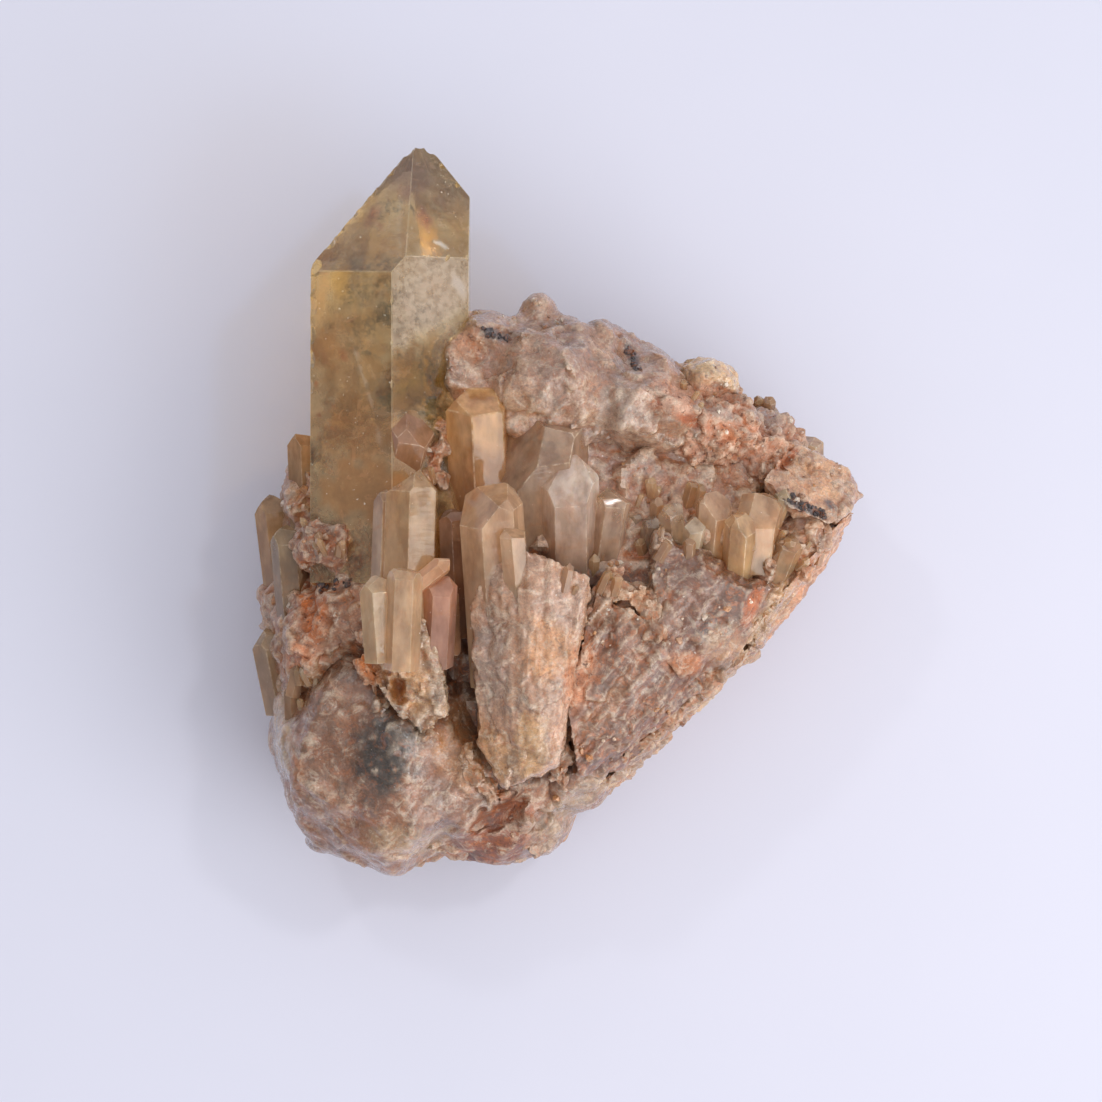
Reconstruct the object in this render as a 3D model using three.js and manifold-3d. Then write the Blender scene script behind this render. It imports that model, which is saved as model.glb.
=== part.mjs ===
// A citrine crystal point: a large smoky yellow quartz point with many smaller ones, grown
// together on a broken, iron-stained quartz mass. The whole cluster is one solid.
//
// Units are millimetres. The cluster lies on its flat broken base, with +Z up.
// The large point lies along +Y, so the view from straight above shows the crystals' fronts.
// X, Y and Z below are measured from a point on the ground near the middle of the cluster. At the
// end the whole is moved by less than half a millimetre, so that its middle is over the origin.
import * as THREE from "three";
import { ConvexGeometry } from "three/addons/geometries/ConvexGeometry.js";
import { mergeVertices } from "three/addons/utils/BufferGeometryUtils.js";
import Module from "manifold-3d";

const wasm = await Module();
wasm.setup();

// Driving dimensions
const BASE_Z = 0;
const WIDEST_Z = 16; // the height at which the mass reaches its outline
const BODY_TOP_Z = 31;
const MASS_CENTRE = new THREE.Vector3(-3.5, -10, 0);
const END_SLOPE = THREE.MathUtils.degToRad(38.2); // between a quartz crystal's end faces and its axis
const SAME_POINT = 1e-3;

// The mass seen from above, as corners going round clockwise from beside the large point.
const OUTLINE = [
  [-11.2, 26.1], [-4.7, 27.7], [0.2, 26.1], [5.4, 25.2], [9.6, 22.8], [13.8, 21.4],
  [20.0, 20.6], [23.2, 18.3], [28.1, 14.4], [31.0, 9.5], [36.3, 6.6], [38.8, 4.4],
  [40.1, 2.2], [37.6, -3.8], [31.4, -12.1], [26.8, -17.8], [20.3, -24.3], [12.5, -32.1],
  [5.4, -37.6], [0.2, -42.3], [-5.3, -47.4], [-11.5, -47.2], [-17.4, -47.8], [-25.2, -46.2],
  [-33.6, -40.2], [-37.8, -32.8], [-39.2, -24.3], [-38.5, -18.5], [-39.4, -12.6], [-38.8, -7.4],
  [-35.6, 1.7], [-34.9, 8.2], [-31.3, 11.1], [-23.2, 13.4], [-16.7, 19.9],
];

// How far out the mass reaches, as a share of its outline, from its base up to its top.
const BODY_PROFILE = [
  [0, BASE_Z], [0.66, BASE_Z], [0.84, 4], [0.95, 9], [1, WIDEST_Z], [0.95, 21],
  [0.84, 25.5], [0.6, 29], [0, BODY_TOP_Z],
];

// The large point: an edge between two prism faces looks straight up.
// Each face is [direction round the axis in degrees, distance from the axis, where its end face starts].
const POINT_AXIS = new THREE.Vector3(-21.8, 0, 23.5);
const POINT_FOOT_Y = -9;
const POINT_FACES = [
  [60, 10.45, 32.8],
  [120, 9.93, 32.8],
  [180, 10.25, 31.9],
  [240, 10.2, 38.2],
  [300, 10.2, 42.2],
  [0, 10.2, 41.3],
];
// The broad end face on the left of that edge leans less to the side than a plain one would.
const BROAD_END = { normal: [-0.35, 0.62, 0.652], through: [2.34, 32.9, 10.72] };

// Ends whose faces are long and short by turns, as most quartz has them.
function alternate(step) {
  return [0, step, 0, step, 0, step];
}

// Smaller crystals: foot, tip, radius, turn round the axis, and how far its end faces are moved.
const CRYSTALS = [
  // the golden crystal and the wide smoky one behind the front ridge
  { foot: [-9.7, -8, 24], tip: [-10.7, 17.4, 34.5], radius: 4.3, turn: 22, ends: [3.5, 0.5, 3, 0, 3, 1] },
  { foot: [-1.6, -12, 20], tip: [-3.6, 17.0, 34.5], radius: 6.9, turn: 8, ends: [-2, 0.5, 3, 0, 3, -5] },
  // the bright stepped crystal, the clear one to its right and the slim ones beyond it
  { foot: [1.4, -11, 25.5], tip: [1.2, 7.6, 35.4], radius: 4.0, turn: 4, ends: [-1.6, 0.6, 1, 1, 1, 0.6] },
  { foot: [5.0, -12, 25], tip: [7.3, 4.0, 33], radius: 2.5, turn: 12, ends: alternate(1.5) },
  { foot: [9.2, -10, 23], tip: [10.2, 1.4, 29.5], radius: 1.6, turn: 30, ends: alternate(1) },
  // the front pointed crystal, the small one that grows beside it and a slim one in the gap
  { foot: [-7.2, -22, 33], tip: [-8.9, 5.2, 39.5], radius: 4.2, turn: 12, ends: [1, 0, 1.5, 0, 1.5, -2] },
  { foot: [-4.9, -14, 38.6], tip: [-6.0, -0.9, 42.2], radius: 1.8, turn: 25, ends: alternate(1) },
  { foot: [-13.0, -16, 31], tip: [-13.8, 1.2, 34.0], radius: 1.9, turn: 30, ends: alternate(1) },
  // the round-ended crystal left of the gap, and the broken ones under it
  { foot: [-19.2, -14, 35.2], tip: [-18.6, 6.9, 36.6], radius: 3.7, turn: 28, ends: [0.5, 0, 0, 0.5, 0, 0] },
  { foot: [-22.3, -14, 34.2], tip: [-21.6, 3.6, 35.0], radius: 2.0, turn: 10, ends: alternate(1) },
  { foot: [-20.0, -20, 38.4], tip: [-19.4, -5.8, 40.4], radius: 2.3, turn: 0, ends: alternate(1) },
  { foot: [-22.6, -19, 37.4], tip: [-23.4, -7.6, 38.9], radius: 2.2, turn: 20, ends: alternate(1) },
  { foot: [-18.6, -9.8, 38.2], tip: [-13.8, -5.9, 39.8], radius: 1.3, turn: 15, ends: alternate(0.6) },
  { foot: [-15.6, -19.6, 35.6], tip: [-14.9, -7.0, 38.6], radius: 2.2, turn: 8, ends: [-1, 0, 0, -1, 0, 0] },
  { foot: [-14.0, -10.5, 33.6], tip: [-13.6, -19.4, 34.4], radius: 1.4, turn: 30, ends: alternate(0.6) },
  // the small clear crystals in the hollow to the right, and the broken ones along its rim
  { foot: [11.4, -5.5, 27], tip: [12.2, -0.2, 31.6], radius: 1.3, turn: 5, ends: alternate(0.5) },
  { foot: [15.4, -8.5, 27.5], tip: [14.2, 2.0, 31.0], radius: 1.9, turn: 25, ends: alternate(0.8) },
  { foot: [16.8, -6, 29.5], tip: [17.9, 0.2, 34.0], radius: 1.5, turn: 10, ends: [-1, 0, -1, 0, -1, 0] },
  { foot: [19.4, -6, 28.0], tip: [20.3, 4.2, 32.0], radius: 2.5, turn: 40, ends: [-2, 0, -1, -1, 0, 0] },
  { foot: [23.0, -8, 29.0], tip: [23.4, 0.6, 34.4], radius: 2.1, turn: 52, ends: [-1, 0, 1, 0, 0, 0] },
  { foot: [25.2, -7, 27.5], tip: [26.2, 3.8, 32.4], radius: 3.0, turn: 15, ends: [-2, 0, 1, 0, 1, -1] },
  { foot: [28.0, -9, 27], tip: [30.4, -2.6, 31.0], radius: 1.8, turn: 5, ends: alternate(1) },
  // the left side
  { foot: [-36.6, -10, 15.5], tip: [-38.1, 2.7, 16.5], radius: 2.3, turn: 12, ends: alternate(0.8) },
  { foot: [-32.6, -6, 21], tip: [-33.2, 11.6, 23], radius: 2.4, turn: 20, ends: alternate(1) },
  { foot: [-34.5, -14, 22], tip: [-35.4, -1.2, 25.5], radius: 2.3, turn: 0, ends: alternate(1) },
  { foot: [-36.0, -26, 18], tip: [-38.2, -14.5, 20.5], radius: 2.6, turn: 15, ends: alternate(1) },
  // a broad one half sunk beside the foot of the large point
  { foot: [-23.6, -6, 25], tip: [-18.4, 13.6, 34.4], radius: 3.6, turn: 18, ends: alternate(1) },
];

// Broken crystals with no whole end: the corners of each, hulled.
const SHARDS = {
  front_ridge: [
    [-4.2, -4.6, 42.4], [3.9, -8.1, 40.8], [4.2, -9.2, 38.8], [0.4, -19.2, 41.4],
    [-2.2, -20.2, 42.2], [-3.9, -22.6, 42.0], [-2.8, -26.8, 41.2], [-0.9, -31.8, 38.6],
    [0.1, -32.4, 37.0], [0.1, -20.0, 39.6], [-6.8, -35.8, 36.0], [-10.3, -29.6, 36.4],
    [-11.0, -18.0, 38.6], [-11.4, -11.4, 38.4], [-8.0, -6.4, 40.6],
    [-9.5, -8.6, 26], [3.6, -9.4, 26], [1.2, -31.6, 22], [-9.6, -30.6, 22],
  ],
  left_ridge: [
    [-22.4, -12.8, 38.2], [-17.4, -12.6, 39.8], [-14.9, -17.6, 38.0], [-14.4, -25.2, 36.6],
    [-17.6, -28.6, 35.4], [-21.6, -24.6, 36.4], [-25.4, -16.8, 36.0], [-24.6, -11.6, 36.2],
    [-23.6, -12.4, 22], [-14.2, -13.4, 22], [-14.6, -27.4, 22], [-22.8, -23.6, 22],
  ],
  right_slope: [
    [12.6, -2.2, 33.4], [20.6, -8.4, 34.6], [25.6, -9.8, 33.2], [24.0, -15.2, 31.6],
    [29.6, -9.4, 28.6], [26.4, -14.8, 28.2], [20.8, -20.8, 28.0], [15.4, -21.4, 33.4], [11.8, -16.4, 34.6],
    [12.0, -8.6, 34.4], [10.6, -6.0, 20], [27.0, -8.6, 18], [16.6, -22.8, 16],
  ],
  lower_slope: [
    [4.6, -9.8, 36.4], [11.6, -13.6, 35.6], [15.4, -20.4, 33.6], [12.6, -27.4, 30.4],
    [20.0, -20.6, 27.8], [13.0, -28.4, 27.0], [5.8, -34.8, 25.2], [2.2, -33.4, 33.4],
    [0.8, -24.0, 36.6], [3.2, -11.4, 20], [16.4, -22.0, 18], [10.4, -31.6, 14], [0.4, -35.4, 15],
  ],
  right_wing: [
    [31.0, 8.8, 24.6], [36.3, 6.8, 23.4], [38.3, 5.8, 22.0], [38.8, 3.6, 23.6], [40.1, 2.3, 20.6],
    [37.8, 0.4, 26.8], [35.0, -1.6, 28.8], [29.6, 0.8, 31.2], [26.6, 4.2, 30.0], [28.6, 7.4, 27.4],
    [38.6, 3.6, 14], [33.6, 7.6, 12], [26.6, -2.6, 16], [36.4, -1.6, 14],
  ],
  right_strip: [
    [38.6, 0.6, 24.0], [36.0, -2.4, 27.6], [30.8, -9.8, 29.4], [25.4, -16.0, 29.0], [26.6, -18.0, 20.0],
    [31.2, -12.3, 18.4], [37.5, -3.9, 16.0], [35.2, -1.0, 12.0], [25.6, -15.4, 10.0],
  ],
  lower_strip: [
    [25.8, -16.4, 28.4], [19.6, -22.6, 27.6], [12.4, -29.6, 26.0], [5.6, -35.4, 23.6], [5.6, -37.6, 17],
    [12.5, -32.0, 16.4], [20.2, -24.3, 17.4], [26.8, -17.9, 18.2], [22.0, -14.0, 9], [2.0, -33.6, 9],
  ],
};

// Lumps of the mass: middle, half sizes, turn about Z, and the seed of its dents.
const LUMPS = [
  { at: [-1.4, 16.6, 23.5], size: [14.4, 11.0, 13.6], turn: -12, seed: 1 },
  { at: [10.8, 13.4, 21.5], size: [12.6, 9.6, 13.2], turn: -22, seed: 2 },
  { at: [-12.4, 17.0, 23], size: [6.4, 8.4, 11.4], turn: 25, seed: 3 },
  { at: [-9.0, 22.6, 24], size: [5.4, 4.4, 9.4], turn: -20, seed: 38 },
  { at: [-2.7, 25.9, 22.5], size: [3.0, 2.8, 4.6], turn: 0, seed: 4 },
  { at: [6.0, 22.2, 22.5], size: [5.6, 3.8, 6.4], turn: -25, seed: 5 },
  { at: [12.8, 18.9, 25], size: [3.6, 3.4, 5.0], turn: 10, seed: 6 },
  { at: [19.4, 17.4, 24.0], size: [5.0, 3.8, 5.4], turn: -10, seed: 7 },
  { at: [18.8, 11.6, 20.5], size: [11.4, 7.4, 10.6], turn: -28, seed: 8 },
  { at: [26.4, 8.0, 17.5], size: [8.0, 6.8, 11.4], turn: -35, seed: 9 },
  { at: [23.6, -3.0, 20.5], size: [11.0, 6.6, 13.0], turn: -8, seed: 11 },
  { at: [16.0, 5.0, 18], size: [11.5, 6.4, 10.6], turn: -18, seed: 12 },
  { at: [-21.8, -30.6, 16.5], size: [18.4, 17.2, 20.4], turn: 15, seed: 13, points: 60 },
  { at: [-12.4, -33.4, 18], size: [10.2, 12.0, 17.6], turn: -10, seed: 14 },
  { at: [-6.6, -41.2, 12], size: [10.8, 6.4, 14.0], turn: 18, seed: 15 },
  { at: [1.4, -33.0, 16], size: [8.8, 7.0, 15.2], turn: 40, seed: 16 },
  { at: [-32.0, -17.0, 17.5], size: [7.8, 12.6, 17.0], turn: 4, seed: 17 },
  { at: [-28.2, -4.4, 22.6], size: [7.6, 6.6, 12.0], turn: 0, seed: 18 },
  { at: [-26.0, -12.6, 24.5], size: [7.4, 9.4, 11.8], turn: -25, seed: 19 },
  { at: [-32.6, 1.8, 16.6], size: [4.6, 9.0, 10.0], turn: -8, seed: 20 },
  { at: [-22.6, 4.8, 20.4], size: [11.6, 9.4, 12.0], turn: 0, seed: 21 },
];

// Hollows cut into the mass: middle, half sizes, turn about Z, seed.
const PITS = [
  { at: [-20.5, -22.4, 37.4], size: [1.1, 1.9, 3.6], turn: 12, seed: 31, points: 16 },
  { at: [-23.8, -19.6, 36.6], size: [0.9, 3.2, 2.6], turn: 38, seed: 32, points: 16 },
  { at: [-13.0, -20.8, 37.0], size: [1.3, 4.4, 8.4], turn: 6, seed: 33, points: 18 },
  { at: [-7.6, -39.8, 26.8], size: [2.0, 4.6, 3.4], turn: -48, seed: 34, points: 18 },
  { at: [29.9, 6.8, 28.2], size: [1.5, 0.9, 3.0], turn: 40, seed: 35, points: 14 },
  { at: [28.2, -4.6, 32.4], size: [1.2, 1.2, 2.6], turn: 0, seed: 36, points: 14 },
  { at: [-28.4, -9.2, 34.0], size: [4.2, 1.2, 2.2], turn: 20, seed: 37, points: 18 },
];

// Blocks and crystals round the sides, where the mass broke from its vein.
const SIDE_BLOCKS = 34;
const SIDE_CRYSTALS = 40;
const SIDE_DEPTH = 0.14; // how far in they are rooted, as a share of the mass
const WEATHERING = 0.07; // how unevenly the mass reaches its outline, as a share of it
const GROWTH_ROOT = new THREE.Vector3(-9, -62, 12); // the crystals fan out from here

const MATERIAL = new THREE.MeshStandardMaterial({ color: 0xa98a64, roughness: 0.42, metalness: 0 });

// A repeatable number from 0 to 1 for a seed and a count.
function scatter(seed, i) {
  const wave = Math.sin(seed * 78.233 + i * 12.9898) * 43758.5453;
  return wave - Math.floor(wave);
}

// A closed three.js geometry as a solid that can be joined and cut.
function solidOf(geometry) {
  const bare = new THREE.BufferGeometry();
  bare.setAttribute("position", geometry.getAttribute("position"));
  if (geometry.index) bare.setIndex(geometry.index);
  const merged = mergeVertices(bare, SAME_POINT);
  const corners = merged.index.array;
  const whole = [];
  for (let i = 0; i < corners.length; i += 3) {
    const [a, b, c] = corners.slice(i, i + 3);
    if (a !== b && b !== c && c !== a) whole.push(a, b, c);
  }
  return new wasm.Manifold(
    new wasm.Mesh({
      numProp: 3,
      vertProperties: new Float32Array(merged.getAttribute("position").array),
      triVerts: new Uint32Array(whole),
    }),
  );
}

// The convex solid inside a list of planes, each given by its outward normal and its distance out.
function insidePlanes(planes) {
  const corners = [];
  const across = new THREE.Matrix3();
  planes.forEach((a, i) =>
    planes.slice(i + 1).forEach((b, j) =>
      planes.slice(i + j + 2).forEach((c) => {
        across.set(...a.normal.toArray(), ...b.normal.toArray(), ...c.normal.toArray());
        if (Math.abs(across.determinant()) < 1e-6) return;
        const corner = new THREE.Vector3(a.out, b.out, c.out).applyMatrix3(across.invert());
        const inside = planes.every((p) => p.normal.dot(corner) < p.out + 1e-5);
        const isNew = corners.every((p) => p.distanceTo(corner) > 0.02);
        if (inside && isNew) corners.push(corner);
      }),
    ),
  );
  return new ConvexGeometry(corners);
}

// A quartz crystal from foot to tip. At turn 0 one of its prism faces looks up. ends moves each
// end face up its own prism face, so that unequal values give the lopsided ends real crystals have.
function crystal({ foot, tip, radius, turn = 0, ends = [0, 0, 0, 0, 0, 0] }) {
  const start = new THREE.Vector3(...foot);
  const along = new THREE.Vector3(...tip).sub(start);
  const length = along.length();
  along.normalize();
  const up = new THREE.Vector3(0, 0, 1).addScaledVector(along, -along.z).normalize();
  const apothem = radius * Math.cos(Math.PI / 6);
  const planes = [{ normal: along.clone().negate(), out: -along.dot(start) }];
  ends.forEach((shift, k) => {
    const angle = THREE.MathUtils.degToRad(turn + 60 * k);
    const outward = up.clone().applyAxisAngle(along, angle);
    const shoulder = length - apothem / Math.tan(END_SLOPE) + shift;
    const edge = start.clone().addScaledVector(outward, apothem).addScaledVector(along, shoulder);
    const end = along.clone().multiplyScalar(Math.sin(END_SLOPE));
    end.addScaledVector(outward, Math.cos(END_SLOPE));
    planes.push({ normal: outward, out: outward.dot(edge) });
    planes.push({ normal: end, out: end.dot(edge) });
  });
  return insidePlanes(planes);
}

// The large point, from its own faces.
function largePoint() {
  const along = new THREE.Vector3(0, 1, 0);
  const planes = [{ normal: new THREE.Vector3(0, -1, 0), out: -POINT_FOOT_Y }];
  for (const [degrees, distance, endY] of POINT_FACES) {
    const angle = THREE.MathUtils.degToRad(degrees);
    const outward = new THREE.Vector3(Math.cos(angle), 0, Math.sin(angle));
    const end = along.clone().multiplyScalar(Math.sin(END_SLOPE));
    end.addScaledVector(outward, Math.cos(END_SLOPE));
    planes.push({ normal: outward, out: distance });
    planes.push({ normal: end, out: Math.sin(END_SLOPE) * endY + Math.cos(END_SLOPE) * distance });
  }
  const broad = new THREE.Vector3(...BROAD_END.normal).normalize();
  planes.push({ normal: broad, out: broad.dot(new THREE.Vector3(...BROAD_END.through)) });
  return insidePlanes(planes).translate(POINT_AXIS.x, POINT_AXIS.y, POINT_AXIS.z);
}

// A broken crystal: the hull of its corners.
function shard(corners) {
  return new ConvexGeometry(corners.map((corner) => new THREE.Vector3(...corner)));
}

// A broken lump: the hull of points spread evenly over an ellipsoid and pushed in here and there.
function lump({ at, size, turn, seed, points = 30 }) {
  const corners = [];
  for (let i = 0; i < points; i++) {
    const height = 1 - (2 * i + 1) / points;
    const round = i * Math.PI * (3 - Math.sqrt(5)) + seed;
    const reach = 1.04 - 0.24 * scatter(seed, i);
    const ring = Math.sqrt(1 - height * height);
    const corner = new THREE.Vector3(ring * Math.cos(round), ring * Math.sin(round), height);
    corner.multiplyScalar(reach).multiply(new THREE.Vector3(...size));
    corner.applyAxisAngle(new THREE.Vector3(0, 0, 1), THREE.MathUtils.degToRad(turn));
    corners.push(corner.add(new THREE.Vector3(...at)));
  }
  return new ConvexGeometry(corners);
}

// The mass's own body: a turned profile pulled out to the outline in every direction.
function massBody() {
  const profile = BODY_PROFILE.map(([share, z]) => new THREE.Vector2(share, z));
  const turned = new THREE.LatheGeometry(profile, OUTLINE.length);
  const place = turned.getAttribute("position");
  for (let i = 0; i < place.count; i++) {
    const column = Math.floor(i / profile.length) % OUTLINE.length;
    const row = i % profile.length;
    const [x, y] = OUTLINE.at(-column); // the turned profile's columns run the other way round
    const share = profile[row].x * (1 - WEATHERING * scatter(200 + row, column));
    place.setX(i, MASS_CENTRE.x + share * (x - MASS_CENTRE.x));
    place.setY(i, MASS_CENTRE.y + share * (y - MASS_CENTRE.y));
    place.setZ(i, profile[row].y);
  }
  return turned;
}

// A place on the side of the mass: a share of the way round its outline, at a height.
function sidePlace(around, z, share) {
  const at = around * OUTLINE.length;
  const [x0, y0] = OUTLINE[Math.floor(at) % OUTLINE.length];
  const [x1, y1] = OUTLINE[(Math.floor(at) + 1) % OUTLINE.length];
  const rim = new THREE.Vector3(x0, y0, z).lerp(new THREE.Vector3(x1, y1, z), at % 1);
  const middle = MASS_CENTRE.clone().setZ(z);
  return middle.lerp(rim, share);
}

// The mass reaches less far out as it nears its base, so what grows there stands further in.
function sideShare(z) {
  const above = BODY_PROFILE.findIndex(([, height]) => height >= z);
  const [shareUnder, under] = BODY_PROFILE[above - 1];
  const [shareOver, over] = BODY_PROFILE[above];
  return THREE.MathUtils.mapLinear(z, under, over, shareUnder, shareOver);
}

function sideBlocks() {
  return Array.from({ length: SIDE_BLOCKS }, (_, i) => {
    const z = 3 + 16 * scatter(51, i);
    const at = sidePlace((i + 0.5 * scatter(52, i)) / SIDE_BLOCKS, z, sideShare(z) - SIDE_DEPTH);
    const size = [4 + 3.4 * scatter(53, i), 4 + 3.4 * scatter(54, i), 3.4 + 4.4 * scatter(55, i)];
    return lump({ at: at.toArray(), size, turn: 180 * scatter(56, i), seed: 60 + i, points: 18 });
  });
}

function sideCrystals() {
  return Array.from({ length: SIDE_CRYSTALS }, (_, i) => {
    const z = 3.5 + 11 * scatter(91, i);
    const foot = sidePlace((i + scatter(92, i)) / SIDE_CRYSTALS, z, sideShare(z) - SIDE_DEPTH);
    const outward = foot.clone().sub(MASS_CENTRE).setZ(0).normalize();
    const fanned = foot.clone().sub(GROWTH_ROOT).normalize();
    const lean = new THREE.Vector3(0, 0, 0.5 * scatter(93, i) - 0.2);
    const along = outward.multiplyScalar(0.55).add(fanned).add(lean).normalize();
    const radius = 1.1 + 1.7 * scatter(94, i) ** 2;
    const tip = foot.clone().addScaledVector(along, 1.6 * radius + 2.6 + 2.6 * scatter(95, i));
    const ends = Array.from({ length: 6 }, (_, k) => (k % 2) * radius * scatter(96 + i, k));
    return crystal({ foot: foot.toArray(), tip: tip.toArray(), radius, turn: 60 * scatter(97, i), ends });
  });
}

// Everything that grew together, joined, hollowed and cut off flat at the base. Of the closed
// shells that this leaves, the outside is kept and the small gaps shut in between lumps are filled.
function cluster() {
  const grown = [
    massBody(),
    largePoint(),
    ...LUMPS.map(lump),
    ...sideBlocks(),
    ...sideCrystals(),
    ...CRYSTALS.map(crystal),
    ...Object.values(SHARDS).map(shard),
  ];
  const ground = new THREE.BoxGeometry(200, 200, 50).translate(0, 0, BASE_Z - 25);
  const joined = grown.map(solidOf).reduce((all, one) => all.add(one));
  const hollowed = PITS.map(lump).map(solidOf).reduce((all, one) => all.subtract(one), joined);
  const shells = hollowed.subtract(solidOf(ground)).decompose();
  return shells.reduce((outside, shell) => (shell.volume() > outside.volume() ? shell : outside));
}

// A joined solid back as a three.js geometry, moved so that its outline's middle is over the origin.
function geometryOf(solid) {
  const { vertProperties, triVerts } = solid.getMesh();
  const welded = new THREE.BufferGeometry();
  welded.setAttribute("position", new THREE.BufferAttribute(vertProperties, 3));
  welded.setIndex(new THREE.BufferAttribute(triVerts, 1));
  const geometry = welded.toNonIndexed(); // so that each flat face keeps its own normals
  geometry.computeBoundingBox();
  const middle = geometry.boundingBox.getCenter(new THREE.Vector3());
  geometry.translate(-middle.x, -middle.y, 0);
  geometry.computeVertexNormals();
  return geometry;
}

const citrine = new THREE.Mesh(geometryOf(cluster()), MATERIAL);
citrine.name = "citrine_cluster";

const part = new THREE.Group();
part.add(citrine);

export default part;
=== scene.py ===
import math
from functools import reduce
from itertools import combinations, product

import bmesh
import bpy
import numpy as np
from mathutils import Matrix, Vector
from mathutils.bvhtree import BVHTree


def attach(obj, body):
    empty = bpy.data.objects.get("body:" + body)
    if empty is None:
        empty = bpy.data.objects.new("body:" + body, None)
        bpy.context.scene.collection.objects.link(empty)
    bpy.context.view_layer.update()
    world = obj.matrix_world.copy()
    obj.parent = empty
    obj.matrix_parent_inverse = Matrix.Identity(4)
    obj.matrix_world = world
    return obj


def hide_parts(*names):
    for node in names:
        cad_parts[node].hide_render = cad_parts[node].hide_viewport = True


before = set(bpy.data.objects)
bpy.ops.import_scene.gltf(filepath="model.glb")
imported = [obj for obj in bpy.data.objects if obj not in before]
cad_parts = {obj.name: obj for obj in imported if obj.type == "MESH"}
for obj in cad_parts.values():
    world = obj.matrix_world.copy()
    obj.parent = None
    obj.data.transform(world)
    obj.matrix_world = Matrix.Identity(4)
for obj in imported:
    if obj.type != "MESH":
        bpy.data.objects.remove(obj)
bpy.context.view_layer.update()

MM = 0.001
SHIFT = np.array([0.2, -0.36, 0.0])  # from the places below to the part's own origin
QUARTZ_IOR = 1.544
END_SLOPE = math.radians(38.2)  # between a quartz crystal's end faces and its axis
UP = np.array([0.0, 0.0, 1.0])


# Colours

def linear(red, green, blue):
    """A colour as the eye sees it, 0 to 255, as linear light."""
    seen = np.array([red, green, blue], float) / 255
    return np.where(seen < 0.04045, seen / 12.92, ((seen + 0.055) / 1.055) ** 2.4)


# Noise

def lattice(cells, seed):
    """Repeatable numbers from 0 to 1 for whole-number cells."""
    mixed = cells[..., 0] * 374761393 + cells[..., 1] * 668265263 + cells[..., 2] * 1440662683
    mixed = (mixed + seed * 974634777) & 0xFFFFFFFF
    mixed = ((mixed ^ (mixed >> 13)) * 1274126177) & 0xFFFFFFFF
    return ((mixed ^ (mixed >> 16)) & 0xFFFFFF) / 0xFFFFFF


def noise(points, size, seed):
    """Smooth noise from -1 to 1 with features about size across; size may differ by axis."""
    scaled = points / size
    cells = np.floor(scaled).astype(np.int64)
    part = scaled - cells
    part = part**3 * (part * (6 * part - 15) + 10)
    total = 0.0
    for corner in product((0, 1), repeat=3):
        weight = np.prod(np.where(corner, part, 1 - part), axis=-1)
        total = total + weight * lattice(cells + np.array(corner), seed)
    return 2 * total - 1


def fractal(points, size, seed, octaves=4):
    """Noise with finer noise on top, from about -1 to 1."""
    size = np.asarray(size, float)
    total, weight = 0.0, 0.0
    for octave in range(octaves):
        total = total + noise(points, size / 2**octave, seed + 17 * octave) / 2**octave
        weight += 1 / 2**octave
    return total / weight * 1.5


def fracture(points, size, seed):
    """Flat broken facets: each cell of space tilts its own way. From about -1 to 1."""
    scaled = points / size
    cells = np.floor(scaled).astype(np.int64)
    nearest = np.full(len(points), 9.0)
    height = np.zeros(len(points))
    for offset in product((-1, 0, 1), repeat=3):
        cell = cells + np.array(offset)
        seat = np.stack([lattice(cell, seed + k) for k in range(3)], axis=-1)
        tilt = np.stack([lattice(cell, seed + 3 + k) for k in range(3)], axis=-1) * 2 - 1
        away = scaled - cell - seat
        distance = np.linalg.norm(away, axis=-1)
        closer = distance < nearest
        nearest = np.where(closer, distance, nearest)
        plane = (away * tilt).sum(axis=-1) + lattice(cell, seed + 7) - 0.5
        height = np.where(closer, plane, height)
    return height


def smoothstep(value, low, high):
    share = np.clip((value - low) / (high - low), 0, 1)
    return share * share * (3 - 2 * share)


def scatter(seed, i):
    """A repeatable number from 0 to 1 for a seed and a count."""
    wave = math.sin(seed * 78.233 + i * 12.9898) * 43758.5453
    return wave - math.floor(wave)


def between(span, seed, i):
    """A repeatable number from one end of a span to the other."""
    return span[0] + (span[1] - span[0]) * scatter(seed, i)


def unit(vector):
    return vector / np.linalg.norm(vector)


def away_in_plan(co, middle, half, turn):
    """How far places lie from a middle seen from above: 1 on the rim of an ellipse turned about Z."""
    angle = math.radians(turn)
    dx, dy = co[:, 0] - middle[0], co[:, 1] - middle[1]
    u = (dx * math.cos(angle) + dy * math.sin(angle)) / half[0]
    v = (-dx * math.sin(angle) + dy * math.cos(angle)) / half[1]
    return np.sqrt(u * u + v * v)


# Shapes, all in millimetres

def inside_planes(planes):
    """The corners and faces of the convex solid inside planes of (outward normal, distance out)."""
    normals = np.array([normal for normal, _ in planes])
    outs = np.array([out for _, out in planes])
    corners = []
    for trio in combinations(range(len(planes)), 3):
        across = normals[list(trio)]
        if abs(np.linalg.det(across)) < 1e-6:
            continue
        corner = np.linalg.solve(across, outs[list(trio)])
        inside = np.all(normals @ corner < outs + 1e-5)
        if inside and all(np.linalg.norm(corner - known) > 0.02 for known in corners):
            corners.append(corner)
    corners = np.array(corners)
    faces = []
    for normal, out in zip(normals, outs):
        on = np.flatnonzero(np.abs(corners @ normal - out) < 0.02)
        if len(on) < 3:
            continue
        arms = corners[on] - corners[on].mean(axis=0)
        side = unit(arms[0])
        turn = np.arctan2(arms @ np.cross(normal, side), arms @ side)
        faces.append(on[np.argsort(turn)])
    return corners, faces


def turned(vector, axis, angle):
    """A vector turned about an axis of length 1."""
    along = axis * (axis @ vector)
    return along + (vector - along) * math.cos(angle) + np.cross(axis, vector) * math.sin(angle)


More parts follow.
